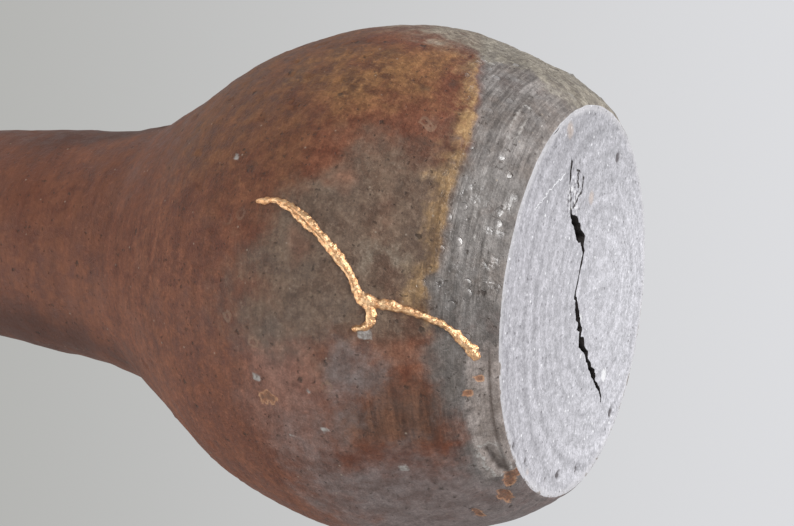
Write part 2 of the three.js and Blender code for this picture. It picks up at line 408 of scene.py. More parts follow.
def furrow_marks(turn, height, places, furrow):
    """A furrow along a short line: a dip of (1 - d^2) at its middle, between two pushed-up ridges, with d
    made ragged by noise."""
    first, last = furrow[:2], furrow[2:4]
    size = outer_radius(first[1])
    along = np.array([np.radians(last[0] - first[0]) * size, last[1] - first[1]])
    length = np.hypot(*along)
    across, up = around_gap(turn, height, first)
    share = np.clip((across * along[0] + up * along[1]) / length ** 2, 0, 1)
    gap = np.hypot(across - share * along[0], up - share * along[1]) / furrow[4]
    gap = gap + clay_noise(places, FURROW_RAGGED)
    dip = np.clip(1 - gap ** 2, 0, 1)
    ridge = np.exp(-((gap - 1.9) / 0.55) ** 2)
    return dip, ridge


def zone_share(turn, height, zone):
    """A soft window in angle times a soft window in height."""
    return window(turn, *zone[0]) * window(height, *zone[1])


def soft_patches(turn, height, patches):
    """Sum of soft ovals, each its strength times exp(-d^2), with d measured in its own reaches."""
    total = np.zeros_like(turn)
    for turn_at, height_at, turn_reach, height_reach, strength in patches:
        across = (turn - turn_at) / turn_reach
        up = (height - height_at) / height_reach
        total = total + strength * np.exp(-across ** 2 - up ** 2)
    return total


def crest_share(turn, height):
    """How far the crusted grey ash of the upper side reaches: a soft window in angle, fading up the wall."""
    return ease(turn, 58, 74) * (1 - ease(turn, 104, 150)) * (1 - ease(height, 22, 58))


def run_height(turn, places):
    """Height of the run ash's lower edge, with ragged tongues."""
    return np.interp(turn, *RUN_LINE.T) + clay_noise(places * [1, 1, 0.3], RUN_TONGUES)


def wall_relief(turn, height, places):
    """Outward relief of the wall: slow wobble, throwing rings, clay grain, pits and lumps, turning lines
    on the foot, crusted ash, the run ash's ridge and beads, stones, flakes, burns and furrows."""
    neck = ease(height, *NECK_BEGINS)
    shoulder = window(height, *SHOULDER)
    wobble = clay_noise(places, WOBBLE)
    drift = height + clay_noise(places, RING_DRIFT)
    throwing = (RING_RISE + NECK_RING_RISE * neck) * line_noise(drift, 7.0, 9, 2)
    grain = (GRAIN_RISE + SHOULDER_GRAIN_RISE * shoulder) * layered_noise(places, 2.4, 13, 2)
    grain = grain + clay_noise(places, COARSE_GRAIN)
    pits = round_grains(places, 4.2, 21, PIT_SHARE + SHOULDER_PIT_SHARE * shoulder, 0.25)
    pits = (PIT_DEPTH + SHOULDER_PIT_DEPTH * shoulder) * pits
    lumps = round_grains(places, 5.0, 27, LUMP_SHARE + SHOULDER_LUMP_SHARE * shoulder, 0.28)
    lumps = (LUMP_RISE + SHOULDER_LUMP_RISE * shoulder) * lumps ** 2
    crust = CRUST_RISE * crest_share(turn, height) * layered_noise(places, 2.6, 45, 2)
    edge = run_height(turn, places)
    foot = 1 - ease(height, edge - 1.5, edge + 0.5)
    turned = TURNING_RISE * foot * layered_noise(places / [7.0, 7.0, 1.0], 1.1, 35, 2)
    ridge = RUN_RIDGE_RISE * window(turn, *RUN_RIDGE_SIDE) * np.exp(-((height - edge - 1.0) / 1.2) ** 2)
    ridge = ridge * (1 + 0.7 * layered_noise(places, 4.0, 41, 2))
    beads = round_marks(turn, height, ASH_BEADS)
    stones = round_marks(turn, height, STONES)
    _, broken = oval_marks(turn, height, places, FLAKES)
    _, burnt = oval_marks(turn, height, places, BURNS)
    raised = wobble + throwing + grain + lumps + crust + turned + ridge + beads + stones
    for furrow in FURROWS:
        dip, lips = furrow_marks(turn, height, places, furrow)
        raised = raised + furrow[6] * lips - furrow[5] * dip
    return raised - pits - broken - burnt


def veil_share(turn, height):
    """The grey-olive ash veil on the front of the belly: soft borders at both sides, the upper one leaning
    with height, a soft band in height, and a bare patch."""
    lean = turn + 0.5 * np.maximum(height - 14, 0)
    share = 1.15 * ease(turn, -28, -6) * (1 - ease(lean, 18, 46))
    share = share * window(height + 0.3 * turn, 0, 44, 13)
    return share * (1 - soft_patches(turn, height, BARE_PATCHES))


def smoke_and_shade_share(turn, height, places):
    """Cloudy darkening up the neck: painted shade on the lower side, and a smoky darkening on the upper side.
    """
    cloudy = 0.95 + 0.5 * layered_noise(places * [1, 1, 0.5], 26.0, 59, 3)
    lower_side = ease(turn, -24, -54) * (1 - ease(turn, -100, -165))
    upper_side = ease(turn, 32, 72) * (1 - ease(turn, 95, 150))
    return ease(height, *SMOKE_AND_SHADE_BEGINS) * (lower_side + 0.6 * upper_side) * cloudy


def foot_share(turn, drifted_turn, height, edge):
    """The turned grey foot below the run ash: a border that is softer away from the run, and thinner ash
    on the lower side."""
    soften = 6 * (1 - ease(turn, -20, -2)) + 6 * ease(turn, 66, 84)
    share = 1 - ease(height, edge - 2.4, edge + 1.8 + soften)
    share = share * (1 - 0.1 * window(drifted_turn, -46, -6, 10))
    return share * (1 - 0.65 * window(drifted_turn, -120, -48, 12))


def scar_share(turn, height, places):
    """Dark marks: the bottoms of the furrows, the burns and a groove round the foot. Also gives the
    furrows' pushed-up ridges."""
    dip = np.zeros_like(turn)
    lips = np.zeros_like(turn)
    for furrow in FURROWS:
        low, high = furrow_marks(turn, height, places, furrow)
        dip = np.maximum(dip, low * furrow[5])
        lips = np.maximum(lips, high * furrow[6])
    burnt, _ = oval_marks(turn, height, places, BURNS)
    groove_at = GROOVE_HEIGHT + clay_noise(places, GROOVE_DRIFT)
    groove = window(turn, *GROOVE_SIDE) * np.exp(-((height - groove_at) / GROOVE_WIDTH) ** 2)
    return np.maximum(np.maximum(1.2 * dip, 0.55 * burnt), 0.8 * groove), lips


def wall_fields(turn, height, places):
    """Where each finish of the firing, and each painted shade and sheen, lies on the wall, from 0 to 1: windows
    and patches in angle and height, moved by broad or by finer noise."""
    far_turn = turn + clay_noise(places, FAR_TURN)
    far_height = height + clay_noise(places, FAR_HEIGHT)
    near_turn = turn + clay_noise(places, NEAR_TURN)
    near_height = height + clay_noise(places, NEAR_HEIGHT)
    near = near_turn, near_height
    edge = run_height(turn, places)
    above = height - edge
    back = zone_share(np.abs(far_turn), far_height, BACK_ASH)
    # Painted shade up the neck's lower side, a smoky darkening on its upper side, and a dark patch on the belly
    smoke_and_shade = smoke_and_shade_share(far_turn, far_height, places) + soft_patches(*near, SMOKE_PATCHES)
    run = window(turn, *RUN_SIDE) * ease(above, -0.7, 0.5) * np.exp(-(np.maximum(above, 0) / 4.2) ** 2)
    stones = np.clip(round_marks(turn, height, STONES[:PALE_STONES]) / 0.12, 0, 1)
    broken, _ = oval_marks(turn, height, places, FLAKES)
    scar, lips = scar_share(turn, height, places)
    shares = {
        "ash": veil_share(*near) + 0.6 * back,
        "crest": crest_share(near_turn, far_height) + soft_patches(*near, PALE_ASH_PATCHES),
        "tan": zone_share(far_turn, far_height, TAN),
        "flash": soft_patches(*near, FLASH_PATCHES),
        "spot": soft_patches(*near, SPOT_PATCHES),
        "umber": zone_share(far_turn, far_height, UMBER),
        # Painted sheen on the front of the belly
        "painted_sheen": zone_share(*near, PAINTED_SHEEN),
        "lilac": 1.1 * zone_share(*near, LILAC) + soft_patches(*near, LILAC_PATCHES),
        "run": run,
        "foot": foot_share(turn, far_turn, height, edge),
        # Painted shade on the foot's lower side
        "shade": window(far_turn, *FOOT_PAINTED_SHADE_SIDE),
        "chalk": zone_share(far_turn, height, CHALK),
        "smoke_and_shade": smoke_and_shade,
        "wet": window(turn, *WET_SIDE) * window(above, *WET_BAND),
        "bead": round_marks(turn, height, ASH_BEADS) / 0.25,
        "stone": stones + 3.2 * lips,
        "flake": broken,
        "scar": scar,
    }
    return {label: np.clip(share, 0, 1) for label, share in shares.items()}


# Underside

def crack_axes():
    """Unit vectors along the crack, from its last point to its first, and across it."""
    along = CRACK_LINE[0, :2] - CRACK_LINE[-1, :2]
    along = along / np.linalg.norm(along)
    return along, np.array([-along[1], along[0]])


CRACK_ALONG, CRACK_ACROSS = crack_axes()
CRACK_TURN = math.degrees(math.atan2(CRACK_ALONG[1], CRACK_ALONG[0])) - FRONT

# Marks on the underside: dark pits [x, y, radius, depth], pale stones and warm stains [x, y, radius]
UNDER_PITS = np.array([
    [-27.0, -23.8, 1.2, 0.7], [-33.7, 0.5, 1.4, 0.8], [-33.1, 10.3, 1.3, 0.8], [29.5, 13.1, 1.6, 0.5],
    [-30.0, -17.5, 0.9, 0.5], [-22.0, 26.5, 1.5, 0.6], [30.5, 22.0, 1.2, 0.4], [-34.5, -6.5, 0.8, 0.5],
])
UNDER_STONES = np.array([[-14.2, 19.6, 1.7], [-3.0, 2.6, 0.8], [-10.6, 5.0, 0.7], [-36.6, -11.2, 1.2]])
UNDER_STAINS = np.array([[31.3, -15.3, 2.4], [20.2, 0.5, 2.0], [-33.0, -17.0, 1.6]])
WIRE_MIDDLE = np.array([1.5, 12.0])
# A white scratch and the crumbled branch of the crack: [first point, last point, half width]
SCRATCH = [(23.6, -14.3), (15.2, -28.5), 0.22]
CRACK_BRANCH = [
    [(25.0, -9.6), (24.0, -6.6), 0.4],
    [(24.2, -8.4), (21.0, -7.2), 0.45],
    [(24.2, -5.4), (20.8, -4.9), 0.65],
    [(21.6, -4.7), (19.6, -6.6), 0.5],
    [(19.4, -6.8), (17.0, -8.8), 0.4],
]
CRUMB_MIDDLE = np.array([19.2, -8.8])
CRUMB_REACH = 4.4


def mark_share(x, y, mark):
    """1 at a mark's middle, falling as 1 - d^2 to 0 at its radius."""
    return np.clip(1 - ((x - mark[0]) ** 2 + (y - mark[1]) ** 2) / mark[2] ** 2, 0, 1)


def under_marks(x, y, marks):
    """The highest share of some marks at each point."""
    return np.max([mark_share(x, y, mark) for mark in marks], axis=0)


def under_relief(x, y):
    """Height of the underside above the ground: a shallow hollow, arcs left by the cutting wire, grain and
    pits, all fading out at the rim, and the single pits."""
    places = np.stack([x, y, 0 * x], axis=-1)
    reach = np.hypot(x, y)
    hollow = UNDER_HOLLOW * (1 - np.clip(reach / BASE_RADIUS, 0, 1) ** 3)
    arc = np.hypot(x - WIRE_MIDDLE[0], y - WIRE_MIDDLE[1]) + clay_noise(places, WIRE_DRIFT)
    wire = WIRE_RISE * line_noise(arc, 2.4, 85, 2)
    grain = clay_noise(places, UNDER_GRAIN)
    pits = UNDER_PIT_DEPTH * round_grains(places, 3.4, 93, 0.3, 0.24)
    single = np.max([mark[3] * np.sqrt(mark_share(x, y, mark)) for mark in UNDER_PITS], axis=0)
    fade = 1 - ease(reach, BASE_RADIUS - 2.4, BASE_RADIUS - 0.8)
    return np.clip(fade * (EDGE_LIFT + hollow + wire + grain + pits) + single, 0, None)


def crack_shape(along):
    """Middle line, half widths on its two sides and depth of the crack at distances along it."""
    line = CRACK_LINE[::-1]
    place = line[:, :2] @ CRACK_ALONG
    order = np.argsort(place)
    middle = np.interp(along, place[order], (line[:, :2] @ CRACK_ACROSS)[order])
    middle = middle + 0.4 * line_noise(along, 2.0, 61)
    middle = middle * (1 - ease(np.abs(along), 0.8 * BASE_RADIUS, 0.98 * BASE_RADIUS))
    begun = ease(along, place.min() - CRACK_RUN_OUT, place.min())
    ended = ease(along, place.max(), place.max() + CRACK_RUN_OUT)
    reach = begun * (1 - ended)
    width = np.interp(along, place[order], line[order, 2]) * reach
    low = 0.5 * width * (1 + 0.5 * line_noise(along, 1.3, 65)) + CRACK_HAIR
    high = 0.5 * width * (1 + 0.5 * line_noise(along, 1.3, 68)) + CRACK_HAIR
    depth = np.minimum(CRACK_DEEPEST, CRACK_STEEPNESS * width) * reach
    return middle, low, high, depth


def under_grid(rim):
    """Rows of chords square to the crack, ending on the wall's first ring. Each row's columns lie in the
    crack, at shares of its half width, and from its lips out to the rim, closer near the lips. Gives the
    points, and which of them lie in the crack."""
    half = AROUND // 2
    rows = np.arange(1, half)
    flat = np.stack([CRACK_ALONG, CRACK_ACROSS], axis=1)
    low_end = rim[(half + rows) % AROUND, :2] @ flat
    high_end = rim[half - rows, :2] @ flat
    middle, low, high, depth = crack_shape((low_end[:, 0] + high_end[:, 0]) / 2)
    middle = np.clip(middle, low_end[:, 1] * 0.5, high_end[:, 1] * 0.5)
    low_edge, high_edge = low_end[:, 1:2], high_end[:, 1:2]
    middle, low, high, depth = (values[:, None] for values in (middle, low, high, depth))
    shares = np.array(CRACK_SHARES)
    spread = (np.arange(1, UNDER_COLUMNS) / UNDER_COLUMNS) ** 1.35
    low_lip, high_lip = middle - low, middle + high
    across = np.concatenate([
        low_lip + (low_edge - low_lip) * spread[::-1],
        middle - low * shares[::-1],
        middle,
        middle + high * shares,
        high_lip + (high_edge - high_lip) * spread,
    ], axis=1)
    place = (across - low_edge) / (high_edge - low_edge)
    along = low_end[:, 0:1] + (high_end[:, 0:1] - low_end[:, 0:1]) * place
    xy = along[..., None] * CRACK_ALONG + across[..., None] * CRACK_ACROSS
    gap = np.where(across < middle, (middle - across) / low, (across - middle) / high)
    cut = depth * np.clip(1 - gap ** 2, 0, 1) ** 0.25
    x, y = xy[..., 0], xy[..., 1]
    points = np.stack([x, y, under_relief(x, y) + cut], axis=-1)
    return points, (gap < 1.0001) * (depth > 0.2)


# Body mesh

def section(radius, height, out, up, share):
    """Rows of [radius, height, outward radius part, outward height part, relief share]."""
    return np.stack([values + 0 * height for values in (radius, height, out, up, share)], axis=1)


def edge_rows():
    """The foot's rounded edge: a parabola from the underside's rim, out and up to the wall."""
    t = np.linspace(0, 1, EDGE_ROWS, endpoint=False)
    radius = (1 - t) ** 2 * (BASE_RADIUS - EDGE_INSET) + 2 * t * (1 - t) * (BASE_RADIUS + 0.02)
    radius = radius + t ** 2 * outer_radius(EDGE_TOP)
    lean_out = np.sin(t * 0.3 * math.pi)
    return section(radius, t ** 2 * EDGE_TOP, lean_out, -np.sqrt(1 - lean_out ** 2), 0.5 * t)


def wall_rows():
    """The outer wall, in bands of height with steps that grow up the vase."""
    bands = zip(ROW_BREAKS, ROW_BREAKS[1:], ROW_STEPS)
    height = np.concatenate([
        np.linspace(low, high, max(2, round((high - low) / step)), endpoint=False) for low, high, step in bands
    ])
    slope = outer_slope(height)
    lean = np.hypot(1, slope)
    share = ease(height, EDGE_TOP - 1, EDGE_TOP + 1)
    return section(outer_radius(height), height, 1 / lean, -slope / lean, share)


def inner_rows():
    """The half-round lip, the inner wall, the quarter-round fillet and the floor."""
    angle = np.linspace(0, math.pi, LIP_ROWS)
    lip_radius = MOUTH_RADIUS - LIP_RADIUS + LIP_RADIUS * np.cos(angle)
    lip_share = 0.4 - 0.4 * ease(np.sin(angle), 0.2, 1.0)
    lip_height = LIP_HEIGHT + LIP_RADIUS * np.sin(angle)
    lip = section(lip_radius, lip_height, np.cos(angle), np.sin(angle), lip_share)
    fillet_top = FLOOR + FLOOR_FILLET
    height = np.linspace(LIP_HEIGHT, fillet_top, INNER_ROWS + 1)[1:-1]
    inner = section(inner_radius(height), height, -1.0, 0.0, 0.4)
    angle = np.linspace(0, math.pi / 2, FILLET_ROWS)
    middle = inner_radius(np.array(fillet_top)) - FLOOR_FILLET
    fillet_height = fillet_top - FLOOR_FILLET * np.sin(angle)
    fillet = section(middle + FLOOR_FILLET * np.cos(angle), fillet_height, -np.cos(angle), np.sin(angle), 0.3)
    radius = np.linspace(middle, 0, FLOOR_ROWS + 1)[1:-1]
    floor = section(radius, FLOOR + 0 * radius, 0.0, 1.0, 0.3)
    return np.concatenate([lip, inner, fillet, floor])


def ring_quads(rows, columns):
    """Quads between neighbouring rows of a grid that closes on itself round its columns."""
    row, column = np.meshgrid(np.arange(rows - 1) * columns, np.arange(columns), indexing="ij")
    after = (column + 1) % columns
    above = row + columns
    return np.stack([row + column, row + after, above + after, above + column], axis=-1).reshape(-1, 4)


def under_faces(rows, columns, start):
    """Quads of the underside's chords, whose ends are on the wall's first ring, and triangles at both ends."""
    half = AROUND // 2
    number = np.arange(1, half)
    own = start + np.arange(rows * columns).reshape(rows, columns)
    grid = np.concatenate([((half + number) % AROUND)[:, None], own, (half - number)[:, None]], axis=1)
    quads = np.stack([grid[:-1, :-1], grid[:-1, 1:], grid[1:, 1:], grid[1:, :-1]], axis=-1)
    first = np.stack([np.full(columns + 1, half), grid[0, 1:], grid[0, :-1]], axis=-1)
    last = np.stack([grid[-1, :-1], grid[-1, 1:], np.zeros(columns + 1, dtype=int)], axis=-1)
    return quads.reshape(-1, 4), np.concatenate([first, last])


def build_mesh(name, points, quads, triangles, fields):
    """A mesh in metres from whole arrays, with one value per vertex for each field."""
    mesh = bpy.data.meshes.new(name)
    mesh.from_pydata((points * MM).tolist(), [], quads.tolist() + triangles.tolist())
    mesh.polygons.foreach_set("use_smooth", np.ones(len(mesh.polygons), dtype=bool))
    for label, values in fields.items():
        layer = mesh.attributes.new(label, "FLOAT", "POINT")
        layer.data.foreach_set("value", np.ascontiguousarray(values, dtype=np.float32))
    mesh.validate()
    piece = bpy.data.objects.new(name, mesh)
    bpy.context.collection.objects.link(piece)
    return piece


def body_rings(rows, outer):
    """Rings of the half section turned round the axis, each point moved along its own normal by the
    relief, with the foot's edge worn back by noise. Also gives the turns, heights and places before that."""
    turn = CRACK_TURN + np.arange(AROUND) * 360.0 / AROUND
    turn = (turn + 180) % 360 - 180
    turns = np.broadcast_to(turn, (len(rows), AROUND))
    radius, height, out, up, share = (np.repeat(rows[:, i:i + 1], AROUND, axis=1) for i in range(5))
    places = round_point(turns, radius, height)
    relief = np.zeros_like(radius)
    relief[:outer] = wall_relief(turns[:outer], height[:outer], places[:outer])
    relief[outer:] = clay_noise(places[outer:] * [0.35, 0.35, 1.0], INSIDE_RELIEF)
    risen = np.maximum(height + relief * share * up, 0)
    points = round_point(turns, radius + relief * share * out, risen)
    worn = np.clip(clay_noise(places[:EDGE_ROWS], EDGE_WEAR) + 0.1, -0.2, 0.6)
    worn = np.linspace(1, 0, EDGE_ROWS)[:, None] * worn
    points[:EDGE_ROWS] = round_point(turns[:EDGE_ROWS], radius[:EDGE_ROWS] - worn, risen[:EDGE_ROWS])
    points[0, :, 2] = EDGE_LIFT
    return points, turns, height, places


def under_fields(x, y, crack):
    """The underside's own values: the crack, pits, stones, stains, crumbs by the crack's end, and the rim."""
    far = np.hypot(x - CRUMB_MIDDLE[0], y - CRUMB_MIDDLE[1])
    return {
        "crack": crack,
        "pit": under_marks(x, y, UNDER_PITS),
        "stone": np.sqrt(under_marks(x, y, UNDER_STONES)),
        "stain": under_marks(x, y, UNDER_STAINS),
        "crumb": 1 - ease(far, 0.6 * CRUMB_REACH, 1.1 * CRUMB_REACH),
        "rim": ease(np.hypot(x, y), BASE_RADIUS - 2.6, BASE_RADIUS - 0.6),
    }


def make_body():
    """The wall's rings from the foot's edge over the lip to the floor inside, closed there by one vertex;
    the underside's chords close the bottom."""
    outside = np.concatenate([edge_rows(), wall_rows()])
    outer = len(outside)
    points, turns, height, places = body_rings(np.concatenate([outside, inner_rows()]), outer)
    under, crack = under_grid(points[0])
    inner_pole = points.shape[0] * AROUND
    under_start = inner_pole + 1
    vertices = np.concatenate([points.reshape(-1, 3), [[0, 0, FLOOR]], under.reshape(-1, 3)])

    rings = ring_quads(points.shape[0], AROUND)
    chords, ends = under_faces(*under.shape[:2], under_start)
    last_ring = inner_pole - AROUND + np.arange(AROUND)
    cap = np.stack([last_ring, np.roll(last_ring, -1), np.full(AROUND, inner_pole)], axis=-1)

    on_wall = wall_fields(turns[:outer], height[:outer], places[:outer])
    below = under_fields(*under.reshape(-1, 3)[:, :2].T, crack.ravel())
    fields = {label: np.zeros(len(vertices)) for label in [*on_wall, *below, "inside"]}
    for label, values in on_wall.items():
        fields[label][:outer * AROUND] = values.ravel()
    for label, values in below.items():
        fields[label][under_start:] = values
    fields["rim"][:EDGE_ROWS * AROUND] = 1
    fields["inside"][(outer + LIP_FIRED_ROWS) * AROUND:under_start] = 1

    quads = np.concatenate([rings, chords])
    piece = build_mesh("vase_body_dressed", vertices, quads, np.concatenate([ends, cap]), fields)
    cut = np.zeros(len(piece.data.polygons), dtype=np.int32)
    cut[:EDGE_CUT_ROWS * AROUND] = 1
    cut[len(rings):-AROUND] = 1
    piece.data.polygons.foreach_set("material_index", cut)
    return piece


# Gold seam

def wall_lengths():
    """Heights up the seam's part of the wall, and the outline's length from the underside to each."""
    z = np.linspace(0, MEASURED_WALL, MEASURED_STEPS)
    return z, np.concatenate([[0], np.cumsum(np.hypot(np.diff(z), np.diff(outer_radius(z))))])


def flat_path(line, steps):
    """A line on the wall as [round, up, width] in millimetres, by cubics through its points whose slope at
    each is the chord between its neighbours."""
    up = np.interp(line[:, 1], *wall_lengths())
    flat = np.stack([np.radians(line[:, 0] - FRONT) * outer_radius(line[:, 1]), up, line[:, 2]], axis=1)
    longer = np.concatenate([[2 * flat[0] - flat[1]], flat, [2 * flat[-1] - flat[-2]]])
    place = np.linspace(0, len(flat) - 1, steps)
    span = np.minimum(place.astype(int), len(flat) - 2)
    t = (place - span)[:, None]
    a, b, c, d = (longer[span + i] for i in range(4))
    return 0.5 * (2 * b + (c - a) * t + (2 * a - 5 * b + 4 * c - d) * t ** 2 + (3 * b - a - 3 * c + d) * t ** 3)


def seam_height(across, up, path, seed):
    """Height of a lacquer bead over the clay on a flat grid: crown times 1 - (d/w)^2 inside its half width
    w, sinking straight below the clay outside it; w swells and narrows along the line, and d is ragged.
    Also gives the distance to the side of the line, and along it."""
    height = np.full(across.shape, -9.0)
    side = np.zeros(across.shape)
    along = np.zeros(across.shape)
    nearest = np.full(across.shape, 1e9)
    length = np.concatenate([[0], np.cumsum(np.hypot(*np.diff(path[:, :2], axis=0).T))])
    half = 0.5 * path[:, 2] * (0.88 + 0.2 * line_noise(length, 1.6, seed, 3))
    ragged = 0.16 * layered_noise(np.stack([across, up, 0 * up], axis=-1), 0.9, seed + 7, 3)
    for i in range(len(path) - 1):
        ahead = path[i + 1, :2] - path[i, :2]
        right = across - path[i, 0]
        rise = up - path[i, 1]
        share = np.clip((right * ahead[0] + rise * ahead[1]) / (ahead @ ahead), 0, 1)
        right = right - share * ahead[0]
        rise = rise - share * ahead[1]
        gap = np.maximum(np.hypot(right, rise) + ragged, 0)
        width = half[i] + (half[i + 1] - half[i]) * share
        closer = gap / width < nearest
        nearest = np.where(closer, gap / width, nearest)
        bead = SEAM_CROWN * (1 - (gap / width) ** 2)
        sunk = -2 * SEAM_CROWN / width * (gap - width)
        height = np.where(closer, np.where(gap < width, bead, sunk), height)
        side = np.where(closer, np.sign(ahead[0] * rise - ahead[1] * right) * gap, side)
        along = np.where(closer, length[i] + (length[i + 1] - length[i]) * share, along)
    return height, side, along


def sheet_faces(keep, size):
    """Quads of the kept cells of a grid, the same cells of a lower sheet turned over, and a side wall
    along each edge that only one kept cell has."""
    number = np.arange(size).reshape(keep.shape[0] + 1, keep.shape[1] + 1)
    upper = np.stack([number[:-1, :-1], number[1:, :-1], number[1:, 1:], number[:-1, 1:]], axis=-1)[keep]
    lower = upper[:, ::-1] + size
    edges = np.concatenate([np.stack([upper[:, i], upper[:, (i + 1) % 4]], axis=1) for i in range(4)])
    there = edges[:, 0] * size + edges[:, 1]
    back = edges[:, 1] * size + edges[:, 0]
    border = edges[~np.isin(there, back)]
    walls = np.stack([border[:, 1], border[:, 0], border[:, 0] + size, border[:, 1] + size], axis=-1)
    return np.concatenate([upper, lower, walls])


def make_seam():
    """The higher of the seam's and the spur's beads on a flat grid, laid on the wall along its normal. Cells
    that sink well below the clay are left off, and a lower sheet and a side wall close the rest."""
    main = flat_path(SEAM_LINE, SEAM_STEPS)
    spur = flat_path(SEAM_SPUR, SPUR_STEPS)
    both = np.concatenate([main, spur])[:, :2]
    low = both.min(axis=0) - SEAM_MARGIN
    high = both.max(axis=0) + SEAM_MARGIN
    counts = np.ceil((high - low) / SEAM_CELL).astype(int)
    across, up = np.meshgrid(*(np.linspace(low[i], high[i], counts[i]) for i in range(2)), indexing="ij")
    height, side, along = seam_height(across, up, main, 121)
    spur_height, _, _ = seam_height(across, up, spur, 127)
    z_steps, length_steps = wall_lengths()
    z = np.interp(up, length_steps, z_steps)
    radius = outer_radius(z)
    turn = np.degrees(across / radius)
    places = round_point(turn, radius, z)
    crinkle = clay_noise(places, COARSE_CRINKLE) + clay_noise(places, FINE_CRINKLE)
    hairline = np.exp(-((side + 0.12) / 0.17) ** 2) * window(along, 2.5, 27, 1.5) * (height > spur_height)
    hairline = hairline * ease(layered_noise(places, 3.0, 141, 2), -0.6, 0.2)
    top = np.maximum(height, spur_height)
    top = top + crinkle * ease(top, -0.1, 0.25) - 0.2 * hairline
    relief = wall_relief(turn, z, places)
    slope = outer_slope(z)
    lean = np.hypot(1, slope)

    def on_wall(out):
        return round_point(turn, radius + out / lean, z - out * slope / lean).reshape(-1, 3)

    proud = top > -SEAM_SINK
    faces = sheet_faces(proud[:-1, :-1] & proud[1:, :-1] & proud[:-1, 1:] & proud[1:, 1:], top.size)
    used, compact = np.unique(faces, return_inverse=True)
    vertices = np.concatenate([on_wall(relief + top), on_wall(relief - SEAM_ROOT)])[used]
    fields = {
        "hairline": np.concatenate([hairline.ravel(), np.zeros(top.size)])[used],
        "edge": np.concatenate([1 - ease(top.ravel(), 0.02, 0.2), np.ones(top.size)])[used],
    }
    no_triangles = np.zeros((0, 3), int)
    return build_mesh("gold_seam_dressed", vertices, compact.reshape(faces.shape), no_triangles, fields)


# Steps that materials are made of. Places are Object coordinates in metres, so a scale counts grains in a
# metre.

def put(tree, kind, inputs=None, **settings):
    """A new node: its settings, and each input given a value or joined to another node's output."""
    node = tree.nodes.new(kind)
    for label, value in settings.items():
        setattr(node, label, value)
    for label, value in (inputs or {}).items():
        if isinstance(value, bpy.types.NodeSocket):
            tree.links.new(value, node.inputs[label])
        else:
            node.inputs[label].default_value = value
    return node


def maths(tree, operation, a, b=0.0, clamp=False):
    """One step of arithmetic on numbers or sockets."""
    return put(tree, "ShaderNodeMath", {0: a, 1: b}, operation=operation, use_clamp=clamp).outputs[0]


def times(tree, a, b):
    """Product of two numbers or sockets."""
    return maths(tree, "MULTIPLY", a, b)


def plus(tree, first, *terms):
    """Sum of a socket and other sockets, each with its factor."""
    for socket, factor in terms:
        first = maths(tree, "ADD", first, times(tree, socket, factor))
    return first


def vectors(tree, operation, a, b):
    """One step of vector arithmetic."""
    return put(tree, "ShaderNodeVectorMath", {0: a, 1: b}, operation=operation).outputs[0]


def dot(tree, vector, way):
    """How far a vector reaches along a fixed direction."""
    return put(tree, "ShaderNodeVectorMath", {0: vector, 1: way}, operation="DOT_PRODUCT").outputs["Value"]


def rising(tree, value, low, high):
    """Smooth step of a socket from 0 at low to 1 at high; it falls where low is above high."""
    node = put(tree, "ShaderNodeMapRange", {0: value, 1: low, 2: high}, interpolation_type="SMOOTHSTEP")
    return node.outputs[0]


def scaled(tree, value, low, high):
    """A 0 to 1 socket stretched between two values."""
    return put(tree, "ShaderNodeMapRange", {0: value, 3: low, 4: high}).outputs[0]


def mingle(tree, share, a, b):
    """Two colours mixed by a share."""
    return put(tree, "ShaderNodeMix", {0: share, 6: a, 7: b}, data_type="RGBA").outputs[2]


def graded(tree, paint, value, low, high):
    """A colour made darker or lighter by a 0 to 1 socket, between two factors."""
    factor = scaled(tree, value, low, high)
    node = put(tree, "ShaderNodeMix", {0: 1.0, 6: paint, 7: factor}, data_type="RGBA", blend_type="MULTIPLY")
    return node.outputs[2]


def colour(red, green, blue):
    """A colour with no transparency."""
    return (red, green, blue, 1.0)


def field(tree, label):
    """One of the mesh's own values."""
    return put(tree, "ShaderNodeAttribute", attribute_name=label).outputs["Fac"]


def zone(tree, label, grain, spread, low, high):
    """A field with its border broken up by noise, and nothing where the field itself is nothing."""
    value = field(tree, label)
    shift = times(tree, maths(tree, "SUBTRACT", grain, 0.5), spread)
    shift = times(tree, shift, rising(tree, value, 0.0, 0.3))
    return rising(tree, maths(tree, "ADD", value, shift), low, high)


def stretched(tree, scale=(1.0, 1.0, 1.0), move=(0.0, 0.0, 0.0)):
    """Object coordinates, moved and then stretched along each axis."""
    place = put(tree, "ShaderNodeTexCoord").outputs["Object"]
    return vectors(tree, "MULTIPLY", vectors(tree, "ADD", place, move), scale)


def along_axis(tree, place, axis):
    """A place's distance along one axis."""
    return put(tree, "ShaderNodeSeparateXYZ", {0: place}).outputs[axis]


def cloud(tree, vector, scale, detail=3.0, roughness=0.55):
    """Noise in the clay, from about 0 to 1."""
    inputs = {"Vector": vector, "Scale": scale, "Detail": detail, "Roughness": roughness}
    return put(tree, "ShaderNodeTexNoise", inputs).outputs[0]


def warped(tree, place, scale, detail, middle, reach):
    """Places moved by coloured noise, less its middle value, times a reach in metres."""
    noise = put(tree, "ShaderNodeTexNoise", {"Vector": place, "Scale": scale, "Detail": detail}).outputs[1]
    noise = vectors(tree, "SUBTRACT", noise, (middle, middle, middle))
    return vectors(tree, "ADD", place, vectors(tree, "MULTIPLY", noise, (reach, reach, reach)))


def scattered(tree, vector, scale):
    """A scattered pattern of cells: the distance from each one's middle, and its three random numbers."""
    cells = put(tree, "ShaderNodeTexVoronoi", {"Vector": vector, "Scale": scale, "Randomness": 1.0})
    return cells.outputs["Distance"], put(tree, "ShaderNodeSeparateColor", {0: cells.outputs["Color"]}).outputs


def specks(tree, vector, scale, size, share):
    """Round specks: 1 near the middle of a share of the cells of a scattered pattern."""
    distance, numbers = scattered(tree, vector, scale)
    return times(tree, rising(tree, distance, size, 0.4 * size), maths(tree, "LESS_THAN", numbers[0], share))


